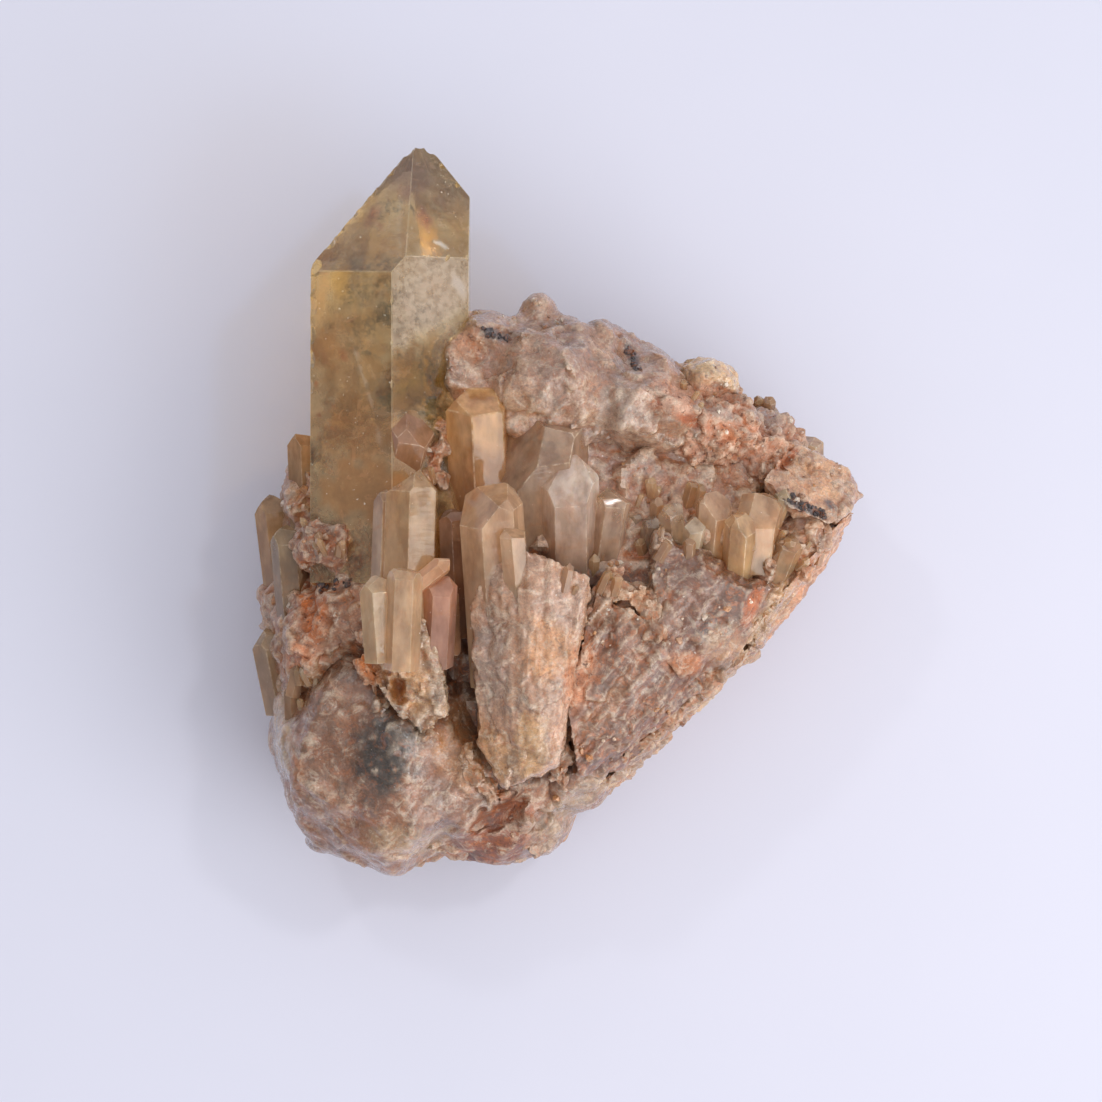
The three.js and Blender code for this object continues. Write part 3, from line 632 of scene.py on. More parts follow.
# Stains: x, y, half sizes, turn about Z, colour, strength, earthiness.
STAIN_RIM = (0.55, 1.2)  # where a stain starts to fade and where it has gone
STAIN_WARP = 0.45  # how ragged its rim is
STAINS = [
    # iron in the pocket on the left, the crack that leads from it and the hole beside that
    (-31.8, -11.3, 2.2, 5.8, 6, (200, 112, 48), 1.0, 1.0),
    (-33.2, -18.4, 2.4, 2.4, 0, (206, 142, 104), 0.8, 0.9),
    (-25.0, -19.4, 0.8, 3.6, 40, (204, 124, 60), 0.9, 1.0),
    (-20.5, -22.5, 1.5, 2.4, 12, (160, 92, 40), 1.0, 1.0),
    (-19.4, -22.0, 3.6, 4.6, 20, (214, 164, 100), 0.55, 0.3),
    (-29.2, -4.2, 5.0, 4.6, 0, (130, 86, 62), 0.9, 0.8),
    (-25.8, -5.8, 2.2, 2.8, 0, (112, 76, 58), 0.8, 0.9),
    (-29.4, -9.4, 4.4, 1.2, 10, (120, 84, 62), 0.7, 0.8),
    # the bulb: a dark patch deep in it, pale rims painted as highlights, and brown clouds
    (-22.2, -30.8, 4.7, 7.4, -16, (60, 50, 40), 1.0, 0.0),
    (-36.0, -28.4, 1.8, 5.6, 4, (190, 168, 140), 0.8, 0.0),
    (-30.4, -36.0, 3.6, 4.8, 20, (150, 118, 96), 0.7, 0.1),
    (-19.6, -42.6, 6.0, 2.4, -10, (184, 156, 122), 0.7, 0.1),
    (-29.0, -24.6, 4.2, 3.4, 30, (140, 106, 82), 0.6, 0.1),
    (-12.2, -30.4, 4.4, 6.2, 0, (190, 142, 98), 0.75, 0.3),
    (-15.6, -36.6, 2.6, 3.8, -30, (136, 108, 92), 0.7, 0.1),
    (-33.6, -33.6, 0.9, 3.0, 20, (176, 126, 92), 0.6, 0.3),
    # the dark red broken foot
    (-8.9, -42.5, 6.8, 4.2, 40, (142, 86, 65), 0.85, 0.9),
    (-7.0, -38.7, 1.6, 3.2, -50, (112, 70, 62), 0.95, 0.9),
    (-12.4, -45.9, 2.6, 1.6, 20, (108, 62, 54), 0.95, 0.9),
    (-5.8, -44.0, 1.3, 2.2, -30, (128, 82, 70), 0.9, 0.9),
    (-0.6, -40.6, 2.6, 4.6, -30, (156, 134, 105), 0.7, 0.2),
    (3.0, -36.6, 5.0, 2.2, 40, (168, 142, 110), 0.8, 0.2),
    # the hill behind
    (-17.4, 12.2, 1.5, 3.0, 20, (98, 94, 102), 0.9, 0.2),
    (-17.6, 16.6, 3.4, 4.4, 30, (140, 114, 98), 0.8, 0.1),
    (-16.4, 7.8, 1.4, 2.6, 0, (168, 96, 54), 0.9, 0.6),
    (-12.0, 21.4, 3.2, 2.2, -20, (196, 148, 116), 0.8, 0.6),
    (-8.0, 22.8, 2.4, 1.0, -20, (104, 98, 98), 0.8, 0.2),
    (9.4, 20.4, 0.9, 2.6, 18, (84, 82, 86), 0.95, 0.3),
    (7.6, 12.6, 3.4, 5.4, -20, (178, 158, 142), 0.7, 0.0),
    (-5.0, 14.0, 5.0, 2.0, -12, (186, 152, 118), 0.5, 0.1),
    (1.6, 8.6, 6.0, 2.6, -20, (156, 128, 118), 0.7, 0.1),
    # the pink crumbly band with its orange pits
    (20.3, 12.7, 10.4, 3.8, -25, (212, 168, 144), 0.9, 1.0),
    (17.4, 11.6, 2.6, 0.9, -20, (176, 96, 56), 0.9, 1.0),
    (22.4, 10.0, 2.2, 0.8, -30, (196, 124, 78), 0.8, 1.0),
    (22.0, 15.4, 2.6, 1.0, -30, (166, 104, 72), 0.8, 1.0),
    (12.6, 14.0, 1.0, 0.8, 0, (140, 78, 52), 0.9, 1.0),
    (20.4, 13.2, 3.6, 1.0, -20, (140, 126, 122), 0.7, 0.4),
    (27.4, 12.6, 3.0, 2.0, -40, (168, 146, 134), 0.8, 0.3),
    # the wing, its black streak and the rust in its notch
    (33.3, 4.9, 5.4, 3.4, -22, (210, 168, 130), 0.8, 0.3),
    (31.2, 0.8, 3.8, 0.9, -24, (78, 76, 80), 0.95, 0.5),
    (35.2, 1.0, 1.4, 0.5, -40, (92, 88, 90), 0.9, 0.5),
    (29.6, 7.0, 2.4, 0.8, 45, (176, 96, 58), 0.9, 1.0),
    (33.0, -9.0, 1.6, 11.0, -37, (212, 156, 116), 0.7, 0.4),
    (31.0, -6.6, 0.6, 9.0, -34, (168, 136, 120), 0.4, 0.1),
    # the brown facet with its rust patch, and the yellow-green edge beyond it
    (17.1, -7.4, 4.6, 6.0, 10, (122, 86, 68), 0.9, 0.1),
    (22.3, -12.0, 2.4, 4.6, -30, (106, 76, 62), 0.9, 0.5),
    (25.2, -11.4, 0.9, 4.2, -22, (178, 104, 62), 0.9, 0.9),
    (19.0, -15.2, 1.1, 1.8, -30, (88, 82, 82), 0.85, 0.3),
    (23.9, -2.9, 5.4, 4.0, -10, (192, 160, 126), 0.7, 0.0),
    (27.6, -13.0, 1.8, 6.0, -33, (196, 160, 118), 0.85, 0.1),
    (21.4, -17.0, 2.6, 3.0, -40, (196, 156, 114), 0.6, 0.2),
    # the streaked slope and the crumbs along the ridge's foot
    (10.0, -16.0, 3.0, 8.0, -40, (136, 100, 80), 0.6, 0.5),
    (13.4, -19.4, 1.2, 9.0, -42, (134, 112, 106), 0.6, 0.1),
    (6.2, -24.6, 1.6, 7.0, -38, (160, 124, 94), 0.6, 0.3),
    (15.8, -19.6, 2.6, 2.0, 0, (188, 122, 78), 0.8, 0.9),
    (2.6, -20.6, 2.2, 4.6, -14, (206, 150, 116), 0.9, 1.0),
    (10.4, -11.6, 3.6, 3.0, 0, (172, 138, 108), 0.7, 0.7),
    (5.4, -12.4, 2.6, 2.0, 0, (196, 166, 140), 0.6, 0.4),
    # the front ridge: warm in the middle, grey-purple lower on its left
    (-1.4, -17.2, 3.2, 4.2, 0, (218, 166, 118), 0.75, 0.15),
    (0.8, -11.4, 3.0, 3.6, 0, (200, 168, 148), 0.7, 0.0),
    (-8.4, -19.0, 2.6, 7.0, 0, (158, 138, 126), 0.7, 0.0),
    (-8.6, -31.0, 3.4, 3.6, 0, (190, 146, 98), 0.8, 0.3),
    (-3.4, -30.0, 2.4, 5.0, 0, (206, 168, 118), 0.7, 0.2),
    # the hollow behind the slope, purple-brown, with orange in its deepest corner
    (8.0, 4.6, 7.0, 3.0, -10, (158, 132, 120), 0.7, 0.2),
    (9.4, -6.6, 2.2, 2.0, 0, (176, 106, 70), 0.8, 0.8),
    (26.0, 1.6, 3.4, 1.6, -10, (186, 160, 128), 0.6, 0.1),
]


def stained(co, colour, earthy):
    """The stains laid over the base colours, with ragged edges, fading down the sides."""
    fade = smoothstep(co[:, 2], 9, 17)
    warp = 0.5 * fractal(co, 2.2, 301) + 0.25 * noise(co, 0.7, 302)
    for x, y, half_x, half_y, turn, shade, strength, earth in STAINS:
        away = away_in_plan(co, (x, y), (half_x, half_y), turn)
        weight = strength * fade * (1 - smoothstep(away + STAIN_WARP * warp, *STAIN_RIM))
        colour = colour + (linear(*shade) - colour) * weight[:, None]
        earthy = earthy + (earth - earthy) * weight
    return colour, earthy


RUST = linear(178, 104, 58)
OCHRE = linear(206, 150, 96)
# the pale of worn edges, with a painted highlight on them
PALE_RIDGE_HIGHLIGHT = linear(222, 206, 184)
PLUM = linear(128, 92, 82)
# painted shade for the recesses, a dark rust-brown
RECESS_SHADE_AND_RUST = linear(84, 52, 38)
IRON = np.array([1.02, 0.93, 0.86])  # the iron that tints the whole mass

# The map of heights: its cells, its half width and the passes that widen its heights, a cell each.
MAP_CELL = 0.7
MAP_REACH = 48.0
MAP_SPREAD = 5


def height_map(meshes):
    """How high the mass stands round each cell of a grid over its plan."""
    cells = int(2 * MAP_REACH / MAP_CELL)
    tops = np.zeros((cells, cells))
    for mesh in meshes:
        co = places(mesh)
        at = np.clip(((co[:, :2] + MAP_REACH) / MAP_CELL).astype(int), 0, cells - 1)
        np.maximum.at(tops, (at[:, 0], at[:, 1]), co[:, 2])
    for _ in range(MAP_SPREAD):
        for axis in (0, 1):
            tops = (np.roll(tops, 1, axis) + tops + np.roll(tops, -1, axis)) / 3
    return tops


def depth_in(heights, co):
    """How far each place lies below what stands round it."""
    at = np.clip(((co[:, :2] + MAP_REACH) / MAP_CELL).astype(int), 0, len(heights) - 1)
    return heights[at[:, 0], at[:, 1]] - co[:, 2]


def coloured(name, mesh, seed, heights):
    """Paints a stretch of the mass: patches, side stains, hollows full of rust, edges paler with wear
    and a painted highlight, and painted shade in its recesses.
    """
    first, second, third, earth = PALETTES[name]
    co = places(mesh)
    patches = fractal(co, 6.0, seed + 11)
    veins = fractal(co, (2.0, 5.0, 2.0), seed + 12)
    colour = linear(*first) * np.ones_like(co)
    colour += (linear(*second) - colour) * smoothstep(patches, 0.0, 0.7)[:, None]
    colour += (linear(*third) - colour) * smoothstep(veins, 0.1, 0.8)[:, None]
    low = 1 - smoothstep(co[:, 2], 10, 20)
    rusty = low * smoothstep(fractal(co, 8.0, seed + 13), 0.05, 0.5)
    colour += (OCHRE - colour) * (0.7 * rusty)[:, None]
    plum = low * smoothstep(fractal(co, 7.0, seed + 14), 0.15, 0.6)
    colour += (PLUM - colour) * (0.5 * plum)[:, None]
    earthy = earth + (0.8 - earth) * rusty
    colour, earthy = stained(co, colour, earthy)
    hollow = hollowness(mesh)
    reach = smoothstep(hollow, 0.02, 0.16) * (0.25 + 0.6 * earthy)
    colour += (RUST - colour) * (0.75 * reach)[:, None]
    # edges that stand out are painted paler: their wear, and a painted highlight
    worn = smoothstep(-hollow, 0.02, 0.14) * 0.45
    colour += (PALE_RIDGE_HIGHLIGHT - colour) * worn[:, None]
    # painted shade: places that lie below what stands round them turn dark rust-brown and earthier
    recess_shade_and_rust = smoothstep(depth_in(heights, co), 0.6, 5.0) * smoothstep(co[:, 2], 14, 22)
    colour += (RECESS_SHADE_AND_RUST - colour) * (0.85 * recess_shade_and_rust)[:, None]
    earthy = earthy + (0.8 - earthy) * recess_shade_and_rust
    paint(mesh, "tint", np.clip(colour * IRON, 0, 1))
    paint(mesh, "earthy", np.clip(earthy, 0, 1))


# Where the surface of the mass is, and the crumbs that lie on it

def surface_of(meshes):
    """The mass's surface as a tree to look places up in, in millimetres before the shift."""
    shapes = [(places(mesh), [list(p.vertices) for p in mesh.polygons]) for mesh in meshes]
    corners, faces = joined(shapes)
    return BVHTree.FromPolygons([Vector(c) for c in corners], faces)


def resting_place(tree, x, y):
    """The highest place of the mass at x, y and its normal, or None."""
    place, normal, _, _ = tree.ray_cast(Vector((x, y, 80)), Vector((0, 0, -1)))
    return None if place is None else (np.array(place), np.array(normal))


CRUMBS = 1500
CRUMB_PLAN = ((-40, 40), (-48, 28))  # where they are sown
CRUMB_FLOOR = 8  # below this height none cling
# Smooth stretches with no crumbs: middle and half sizes.
CLEAN_PATCHES = [
    ((-21.8, -31.0), (18.0, 17.0)),
    ((2.0, 15.0), (15.0, 9.0)),
    ((-4.0, -18.0), (6.0, 12.0)),
]
CRUMB_SIZES = (0.16, 0.75)
GRAIN_SIZES = (0.2, 0.6)
CRUMB_TINTS = [(214, 186, 160), (186, 146, 116), (204, 146, 96), (150, 112, 88), (232, 214, 194)]
# Black mineral grains: middle, half sizes, turn of the patch, how many.
DARK_GRAINS = [
    ((-19.6, 14.0), (1.0, 1.2), 0, 26),
    ((-17.6, 12.0), (0.8, 1.8), 20, 14),
    ((31.4, 1.0), (3.4, 0.5), -24, 34),
    ((9.6, 20.0), (0.5, 1.8), 18, 22),
    ((-7.8, 22.6), (2.2, 0.5), -20, 14),
    ((-29.0, -9.4), (2.6, 0.6), 10, 12),
]
DARK_TINT = (62, 52, 52)


def make_crumbs(material, tree):
    """Crumbs of quartz and black grains that cling to the broken surface."""
    seats = []
    for i in range(CRUMBS):
        x, y = (between(span, 901 + k, i) for k, span in enumerate(CRUMB_PLAN))
        at = np.array([[x, y, 0.0]])
        patchy = float(noise(at, 5.0, 903)[0])
        clean = any(away_in_plan(at, *patch, 0)[0] < 1 for patch in CLEAN_PATCHES)
        if patchy > -0.1 and not clean:
            size = CRUMB_SIZES[0] + (CRUMB_SIZES[1] - CRUMB_SIZES[0]) * scatter(904, i) ** 3
            seats.append((x, y, size, CRUMB_TINTS[i % len(CRUMB_TINTS)], 0.3))
    for number, ((x, y), half, turn, count) in enumerate(DARK_GRAINS):
        angle = math.radians(turn)
        for i in range(count):
            u, v = (half[k] * (2 * scatter(910 + number, 2 * i + k) - 1) for k in range(2))
            seat_x = x + u * math.cos(angle) - v * math.sin(angle)
            seat_y = y + u * math.sin(angle) + v * math.cos(angle)
            seats.append((seat_x, seat_y, between(GRAIN_SIZES, 920 + number, i), DARK_TINT, 0.5))
    built, tints, earths = [], [], []
    for i, (x, y, size, tint, earth) in enumerate(seats):
        rest = resting_place(tree, x, y)
        if rest is None or rest[0][2] < CRUMB_FLOOR:
            continue
        half = size * np.array([0.7 + 0.6 * scatter(930 + k, i) for k in range(3)])
        corners, faces = hull_mesh(lump_points(rest[0], half, 180 * scatter(940, i), 950 + i, 10))
        built.append((corners, faces))
        tints.extend([linear(*tint) * (0.8 + 0.4 * scatter(941, i))] * len(corners))
        earths.extend([earth] * len(corners))
    mesh = mesh_of("crumbs", *joined(built))
    paint(mesh, "tint", np.clip(np.array(tints), 0, 1))
    paint(mesh, "earthy", np.array(earths))
    piece("crumbs", mesh, material, smooth_below=20)


def make_mass(material):
    """Every piece of the mass and its crumbs; gives the tree of its surface."""
    shapes = {name: [hull_mesh(lump_points(*lump)) for lump in lumps] for name, lumps in LUMPS.items()}
    shapes.update({name: [hull_mesh(corners)] for name, corners in SHARDS.items()})
    shapes["quartz_base"] = [mass_body(), *side_blocks()]
    shapes["seams"] = seam_lumps()
    names = sorted(shapes)
    meshes = [mass_piece(name, shapes[name], 40 * seed + 7) for seed, name in enumerate(names)]
    heights = height_map(meshes)
    tree = surface_of(meshes)
    for seed, (name, mesh) in enumerate(zip(names, meshes)):
        coloured(name, mesh, 40 * seed + 7, heights)
        piece(name, mesh, material, smooth_below=34)
    make_crumbs(material, tree)
    return tree


# Crystals

# The smaller crystals: foot, tip, radius, turn and how far each end face is shifted; then the
# colours of tip and foot and how milky they are.
CRYSTAL_KEYS = ("foot", "tip", "radius", "turn", "ends", "tip_tint", "foot_tint", "haze")
CRYSTALS = [
    # the golden crystal and the wide smoky one behind the front ridge
    ((-9.7, -8, 24), (-10.7, 17.4, 34.5), 4.3, 22, (3.5, 0.5, 3, 0, 3, 1),
     (224, 184, 132), (170, 136, 110), 0.55),
    ((-1.6, -12, 20), (-3.6, 17.0, 34.5), 6.9, 8, (-2, 0.5, 3, 0, 3, -5),
     (186, 168, 150), (168, 148, 128), 0.45),
    # the stepped crystal with its tip painted near white, a painted highlight on its broken top; the
    # clear one to its right and the slim ones beyond it
    ((1.4, -11, 25.5), (1.2, 7.6, 35.4), 4.0, 4, (-1.6, 0.6, 1, 1, 1, 0.6),
     (232, 224, 218), (186, 164, 148), 0.45),
    ((5.0, -12, 25), (7.3, 4.0, 33), 2.5, 12, (0, 1.5) * 3,
     (206, 190, 172), (184, 160, 140), 0.35),
    ((9.2, -10, 23), (10.2, 1.4, 29.5), 1.6, 30, (0, 1) * 3,
     (190, 176, 160), (180, 160, 144), 0.4),
    # the front pointed crystal, the small one that grows beside it and a slim one in the gap
    ((-7.2, -22, 33), (-8.9, 5.2, 39.5), 4.2, 12, (1, 0, 1.5, 0, 1.5, -2),
     (204, 178, 150), (190, 160, 132), 0.6),
    ((-4.9, -14, 38.6), (-6.0, -0.9, 42.2), 1.8, 25, (0, 1) * 3,
     (206, 184, 158), (196, 168, 140), 0.6),
    ((-13.0, -16, 31), (-13.8, 1.2, 34.0), 1.9, 30, (0, 1) * 3,
     (160, 134, 118), (140, 112, 96), 0.5),
    # the round-ended crystal left of the gap, and the broken ones under it
    ((-19.2, -14, 35.2), (-18.6, 6.9, 36.6), 3.7, 28, (0.5, 0, 0, 0.5, 0, 0),
     (200, 180, 150), (188, 164, 134), 0.4),
    ((-22.3, -14, 34.2), (-21.6, 3.6, 35.0), 2.0, 10, (0, 1) * 3,
     (190, 174, 152), (186, 168, 146), 0.5),
    ((-20.0, -20, 38.4), (-19.4, -5.8, 40.4), 2.3, 0, (0, 1) * 3,
     (206, 190, 166), (196, 172, 144), 0.5),
    ((-22.6, -19, 37.4), (-23.4, -7.6, 38.9), 2.2, 20, (0, 1) * 3,
     (204, 190, 166), (196, 176, 148), 0.55),
    ((-18.6, -9.8, 38.2), (-13.8, -5.9, 39.8), 1.3, 15, (0, 0.6) * 3,
     (212, 178, 146), (206, 170, 140), 0.6),
    ((-15.6, -19.6, 35.6), (-14.9, -7.0, 38.6), 2.2, 8, (-1, 0, 0, -1, 0, 0),
     (196, 156, 136), (176, 138, 122), 0.7),
    ((-14.0, -10.5, 33.6), (-13.6, -19.4, 34.4), 1.4, 30, (0, 0.6) * 3,
     (168, 130, 102), (160, 126, 100), 0.7),
    # the small clear crystals in the hollow to the right, and the broken ones along its rim
    ((11.4, -5.5, 27), (12.2, -0.2, 31.6), 1.3, 5, (0, 0.5) * 3,
     (206, 196, 182), (190, 174, 156), 0.3),
    ((15.4, -8.5, 27.5), (14.2, 2.0, 31.0), 1.9, 25, (0, 0.8) * 3,
     (206, 196, 178), (184, 168, 148), 0.35),
    ((16.8, -6, 29.5), (17.9, 0.2, 34.0), 1.5, 10, (-1, 0, -1, 0, -1, 0),
     (212, 204, 190), (196, 180, 156), 0.35),
    ((19.4, -6, 28.0), (20.3, 4.2, 32.0), 2.5, 40, (-2, 0, -1, -1, 0, 0),
     (208, 186, 164), (196, 168, 138), 0.4),
    ((23.0, -8, 29.0), (23.4, 0.6, 34.4), 2.1, 52, (-1, 0, 1, 0, 0, 0),
     (214, 190, 156), (200, 168, 128), 0.4),
    ((25.2, -7, 27.5), (26.2, 3.8, 32.4), 3.0, 15, (-2, 0, 1, 0, 1, -1),
     (210, 184, 156), (196, 164, 130), 0.45),
    ((28.0, -9, 27), (30.4, -2.6, 31.0), 1.8, 5, (0, 1) * 3,
     (204, 180, 152), (196, 166, 132), 0.4),
    # the left side
    ((-36.6, -10, 15.5), (-38.1, 2.7, 16.5), 2.3, 12, (0, 0.8) * 3,
     (186, 156, 118), (180, 148, 114), 0.5),
    ((-32.6, -6, 21), (-33.2, 11.6, 23), 2.4, 20, (0, 1) * 3,
     (196, 168, 134), (170, 142, 112), 0.5),
    ((-34.5, -14, 22), (-35.4, -1.2, 25.5), 2.3, 0, (0, 1) * 3,
     (168, 150, 122), (160, 136, 108), 0.5),
    ((-36.0, -26, 18), (-38.2, -14.5, 20.5), 2.6, 15, (0, 1) * 3,
     (186, 166, 138), (176, 150, 122), 0.6),
    # a broad one half sunk beside the foot of the large point
    ((-23.6, -6, 25), (-18.4, 13.6, 34.4), 3.6, 18, (0, 1) * 3,
     (170, 136, 112), (150, 122, 104), 0.5),
]
# Colours of tip and foot of the crystals that the table doesn't list.
SIDE_TINTS = [
    ((196, 172, 140), (176, 146, 118)),
    ((176, 150, 124), (160, 132, 108)),
    ((206, 182, 150), (186, 152, 118)),
]
WARMTH = np.array([1.18, 1.09, 1.0])  # the iron that tints them all
WORN_EDGE = 0.09  # how far a crystal's edges are worn back
CHIPPED_CORNERS = 3
CHIP_DEPTH = 0.07  # of a crystal's radius
CHIP_LEAN = 0.7  # how far chips lean away from the crystal's middle
CHIP_CORNERS = 10  # the corners nearest the tip, any of which may be chipped
RING = 1.1  # between the rings of points that carry a crystal's colours

# Small crystals that stand in groups on the mass: the patch's middle and half sizes, how many,
# which way they grow and how thick the largest are.
GROUPS = [
    ((13.0, -1.6), (5.5, 4.0), 16, (0.15, 0.9, 0.3), 1.1),
    ((24.5, -3.0), (5.0, 3.6), 16, (0.2, 0.8, 0.45), 1.3),
    ((31.0, -4.4), (3.0, 2.6), 7, (0.4, 0.6, 0.4), 1.2),
    ((-21.0, -11.0), (3.4, 5.5), 14, (-0.05, 0.9, 0.25), 1.2),
    ((-16.4, -1.0), (3.0, 6.0), 9, (0.0, 0.9, 0.35), 1.3),
    ((-31.0, -1.0), (3.6, 6.0), 10, (-0.15, 0.9, 0.3), 1.4),
    ((4.0, -7.0), (3.4, 3.0), 9, (0.1, 0.9, 0.4), 0.9),
    ((-33.0, -22.0), (2.6, 6.0), 6, (-0.2, 0.85, 0.3), 1.3),
    ((22.0, 14.6), (6.0, 1.6), 7, (0.35, 0.6, 0.5), 1.0),
]
GROUP_SPREAD = 0.7  # how far their directions differ
GROUP_SUNK = 1.6  # how deep they stand in the mass, in radii
GROUP_LENGTH = 3.4  # of the shortest, in radii, and how much longer they may be
GROUP_LONGER = 2.4
KNOB_Y = 25.5  # behind this only a rounded knob of the hill stands


def grouped_crystals(tree):
    grown = []
    for number, (middle, half, count, lean, thick) in enumerate(GROUPS):
        for i in range(count):
            seed = 1000 + 50 * number + i
            x, y = (middle[k] + half[k] * (2 * scatter(seed, k) - 1) for k in range(2))
            rest = resting_place(tree, x, y)
            if rest is None:
                continue
            sway = [GROUP_SPREAD * (scatter(seed, 2 + k) - 0.5) for k in range(3)]
            along = unit(np.array(lean) + sway)
            radius = thick * (0.35 + 0.65 * scatter(seed, 5) ** 2)
            foot = rest[0] - GROUP_SUNK * radius * along - [0, 0, 0.3 * radius]
            tip = foot + along * radius * (GROUP_LENGTH + GROUP_LONGER * scatter(seed, 6))
            ends = [(k % 2) * 0.8 * radius * scatter(seed, 7 + k) for k in range(6)]
            grown.append(dict(foot=foot, tip=tip, radius=radius, turn=60 * scatter(seed, 14), ends=ends))
    return grown


def chipped(planes, depth, seed):
    """The planes of a convex solid and a few more that knock off corners of its upper half."""
    corners, _ = inside_planes(planes)
    middle = corners.mean(axis=0)
    along = -planes[0][0]
    upper = sorted(corners, key=lambda corner: -(corner @ along))[:CHIP_CORNERS]
    cuts = []
    for i in range(CHIPPED_CORNERS):
        corner = upper[int(scatter(seed, i) * len(upper))]
        lean = np.array([scatter(seed + 1, 3 * i + k) - 0.5 for k in range(3)])
        outward = unit(unit(corner - middle) + CHIP_LEAN * lean)
        cuts.append((outward, outward @ corner - depth * (0.3 + scatter(seed + 2, i))))
    return planes + cuts


def worn_shape(planes, worn, segments=1):
    """A convex solid as a bmesh whose edges are worn back; the worn faces are marked."""
    corners, faces = inside_planes(planes)
    shape = bmesh.new()
    points = [shape.verts.new(c) for c in corners]
    for face in faces:
        ring = [points[i] for i in face]
        if shape.faces.get(ring) is None:
            shape.faces.new(ring)
    bmesh.ops.dissolve_degenerate(shape, dist=0.01, edges=shape.edges[:])
    edge = shape.faces.layers.float.new("edge")
    made = bmesh.ops.bevel(
        shape, geom=shape.edges[:], offset=worn, segments=segments, affect="EDGES", clamp_overlap=True)
    for face in made["faces"]:
        face[edge] = 1.0
    return shape


def sliced(shape, start, along, step, count):
    """Adds rings of points across a shape, so that it can carry finer colours."""
    for k in range(1, count):
        geom = shape.verts[:] + shape.edges[:] + shape.faces[:]
        seat = Vector(start) + Vector(along) * (k * step)
        bmesh.ops.bisect_plane(shape, geom=geom, dist=1e-4, plane_co=seat, plane_no=Vector(along))


def crystal_shape(crystal, seed):
    """One crystal's corners, faces and what its points and faces are painted with."""
    radius = crystal["radius"]
    planes = crystal_planes(crystal["foot"], crystal["tip"], radius, crystal["turn"], crystal["ends"])
    planes = chipped(planes, CHIP_DEPTH * radius, 500 + seed)
    start, tip = np.array(crystal["foot"], float), np.array(crystal["tip"], float)
    along = tip - start
    length = np.linalg.norm(along)
    along /= length
    worn = WORN_EDGE * (0.6 + 0.8 * scatter(seed, 1)) * min(1, radius / 2.5)
    shape = worn_shape(planes, worn)
    sliced(shape, start, along, RING, int(length / RING))
    shape.verts.index_update()
    co = np.array([v.co[:] for v in shape.verts])
    faces = [[v.index for v in f.verts] for f in shape.faces]
    edge = shape.faces.layers.float["edge"]
    edges = [f[edge] for f in shape.faces]
    shape.free()
    up = unit(UP - along * along[2])
    side = np.cross(along, up)
    away = co - start
    local = np.stack([away @ side, away @ up, away @ along], axis=1)
    share = local[:, 2] / length + 0.1 * noise(co, 2.5, seed)
    near_tip = smoothstep(share, 0.35, 0.9)[:, None]
    tip_tint, foot_tint = (linear(*crystal[end]) * WARMTH for end in ("tip_tint", "foot_tint"))
    tint = foot_tint + (tip_tint - foot_tint) * near_tip
    cloud = crystal["haze"] + 0.5 * (1 - near_tip[:, 0]) * (1 - crystal["haze"])
    return dict(co=co, faces=faces, local=local + 10.0 * seed, tint=tint, haze=cloud, edge=edges)


def make_crystals(material, tree):
    crystals = [dict(zip(CRYSTAL_KEYS, row)) for row in CRYSTALS]
    for i, grown in enumerate([*side_crystals(), *grouped_crystals(tree)]):
        if grown["tip"][1] < KNOB_Y:
            tip_tint, foot_tint = SIDE_TINTS[i % len(SIDE_TINTS)]
            haze = 0.4 + 0.3 * scatter(98, i)
            crystals.append(dict(grown, tip_tint=tip_tint, foot_tint=foot_tint, haze=haze))
    built = [crystal_shape(crystal, seed) for seed, crystal in enumerate(crystals)]
    corners, faces = joined([(b["co"], b["faces"]) for b in built])
    mesh = mesh_of("small_crystals", corners, faces)
    for name in ("local", "tint", "haze"):
        values = np.concatenate([b[name] for b in built])
        paint(mesh, name, np.clip(values, 0, 1) if name == "tint" else values)
    paint_faces(mesh, "edge", sum((b["edge"] for b in built), []))
    piece("small_crystals", mesh, material, smooth_below=12)


# Healed cracks: thin wisps inside the clear crystals

VEIL_ACROSS = 8  # points along a veil's side
POINT_VEILS = 26
POINT_VEILS_Y = (2, 42)  # where they lie along the large point
POINT_ROOM = 8.0  # how far they may lie from its axis, less towards its tip at y 50
BROWN_VEILS_Y = 36  # from here on all of them are brown
VEIL_TINT = (244, 236, 216)
BROWN_VEIL_TINT = (176, 130, 92)
SMALL_VEIL_TINT = (248, 240, 228)


def veil(at, reach, seed):
    """A wavy sheet of points round a place, with how solid it is at each."""
    turns = [math.tau * scatter(seed, k) for k in (1, 2)]
    swing, rise = math.sin(turns[0]) * math.cos(turns[1]), math.sin(turns[1])
    first = unit(np.array([math.cos(turns[0]), swing, rise]))
    second = unit(np.cross(first, [scatter(seed, k) - 0.5 for k in (3, 4, 5)]))
    third = np.cross(first, second)
    steps = np.linspace(-1, 1, VEIL_ACROSS)
    u, v = (grid.ravel() for grid in np.meshgrid(steps, steps))
    away = np.sqrt(u * u + v * v)
    bend = 0.18 * np.sin(3 * u + 6 * scatter(seed, 6)) + 0.14 * np.cos(4 * v + 6 * scatter(seed, 7))
    co = at + reach * (np.outer(u, first) + 0.7 * np.outer(v, second) + np.outer(bend, third))
    faces = []
    for row, column in product(range(VEIL_ACROSS - 1), repeat=2):
        a = row * VEIL_ACROSS + column
        faces.append([a, a + 1, a + 1 + VEIL_ACROSS, a + VEIL_ACROSS])
    return co, faces, 1 - smoothstep(away, 0.45, 1.0)


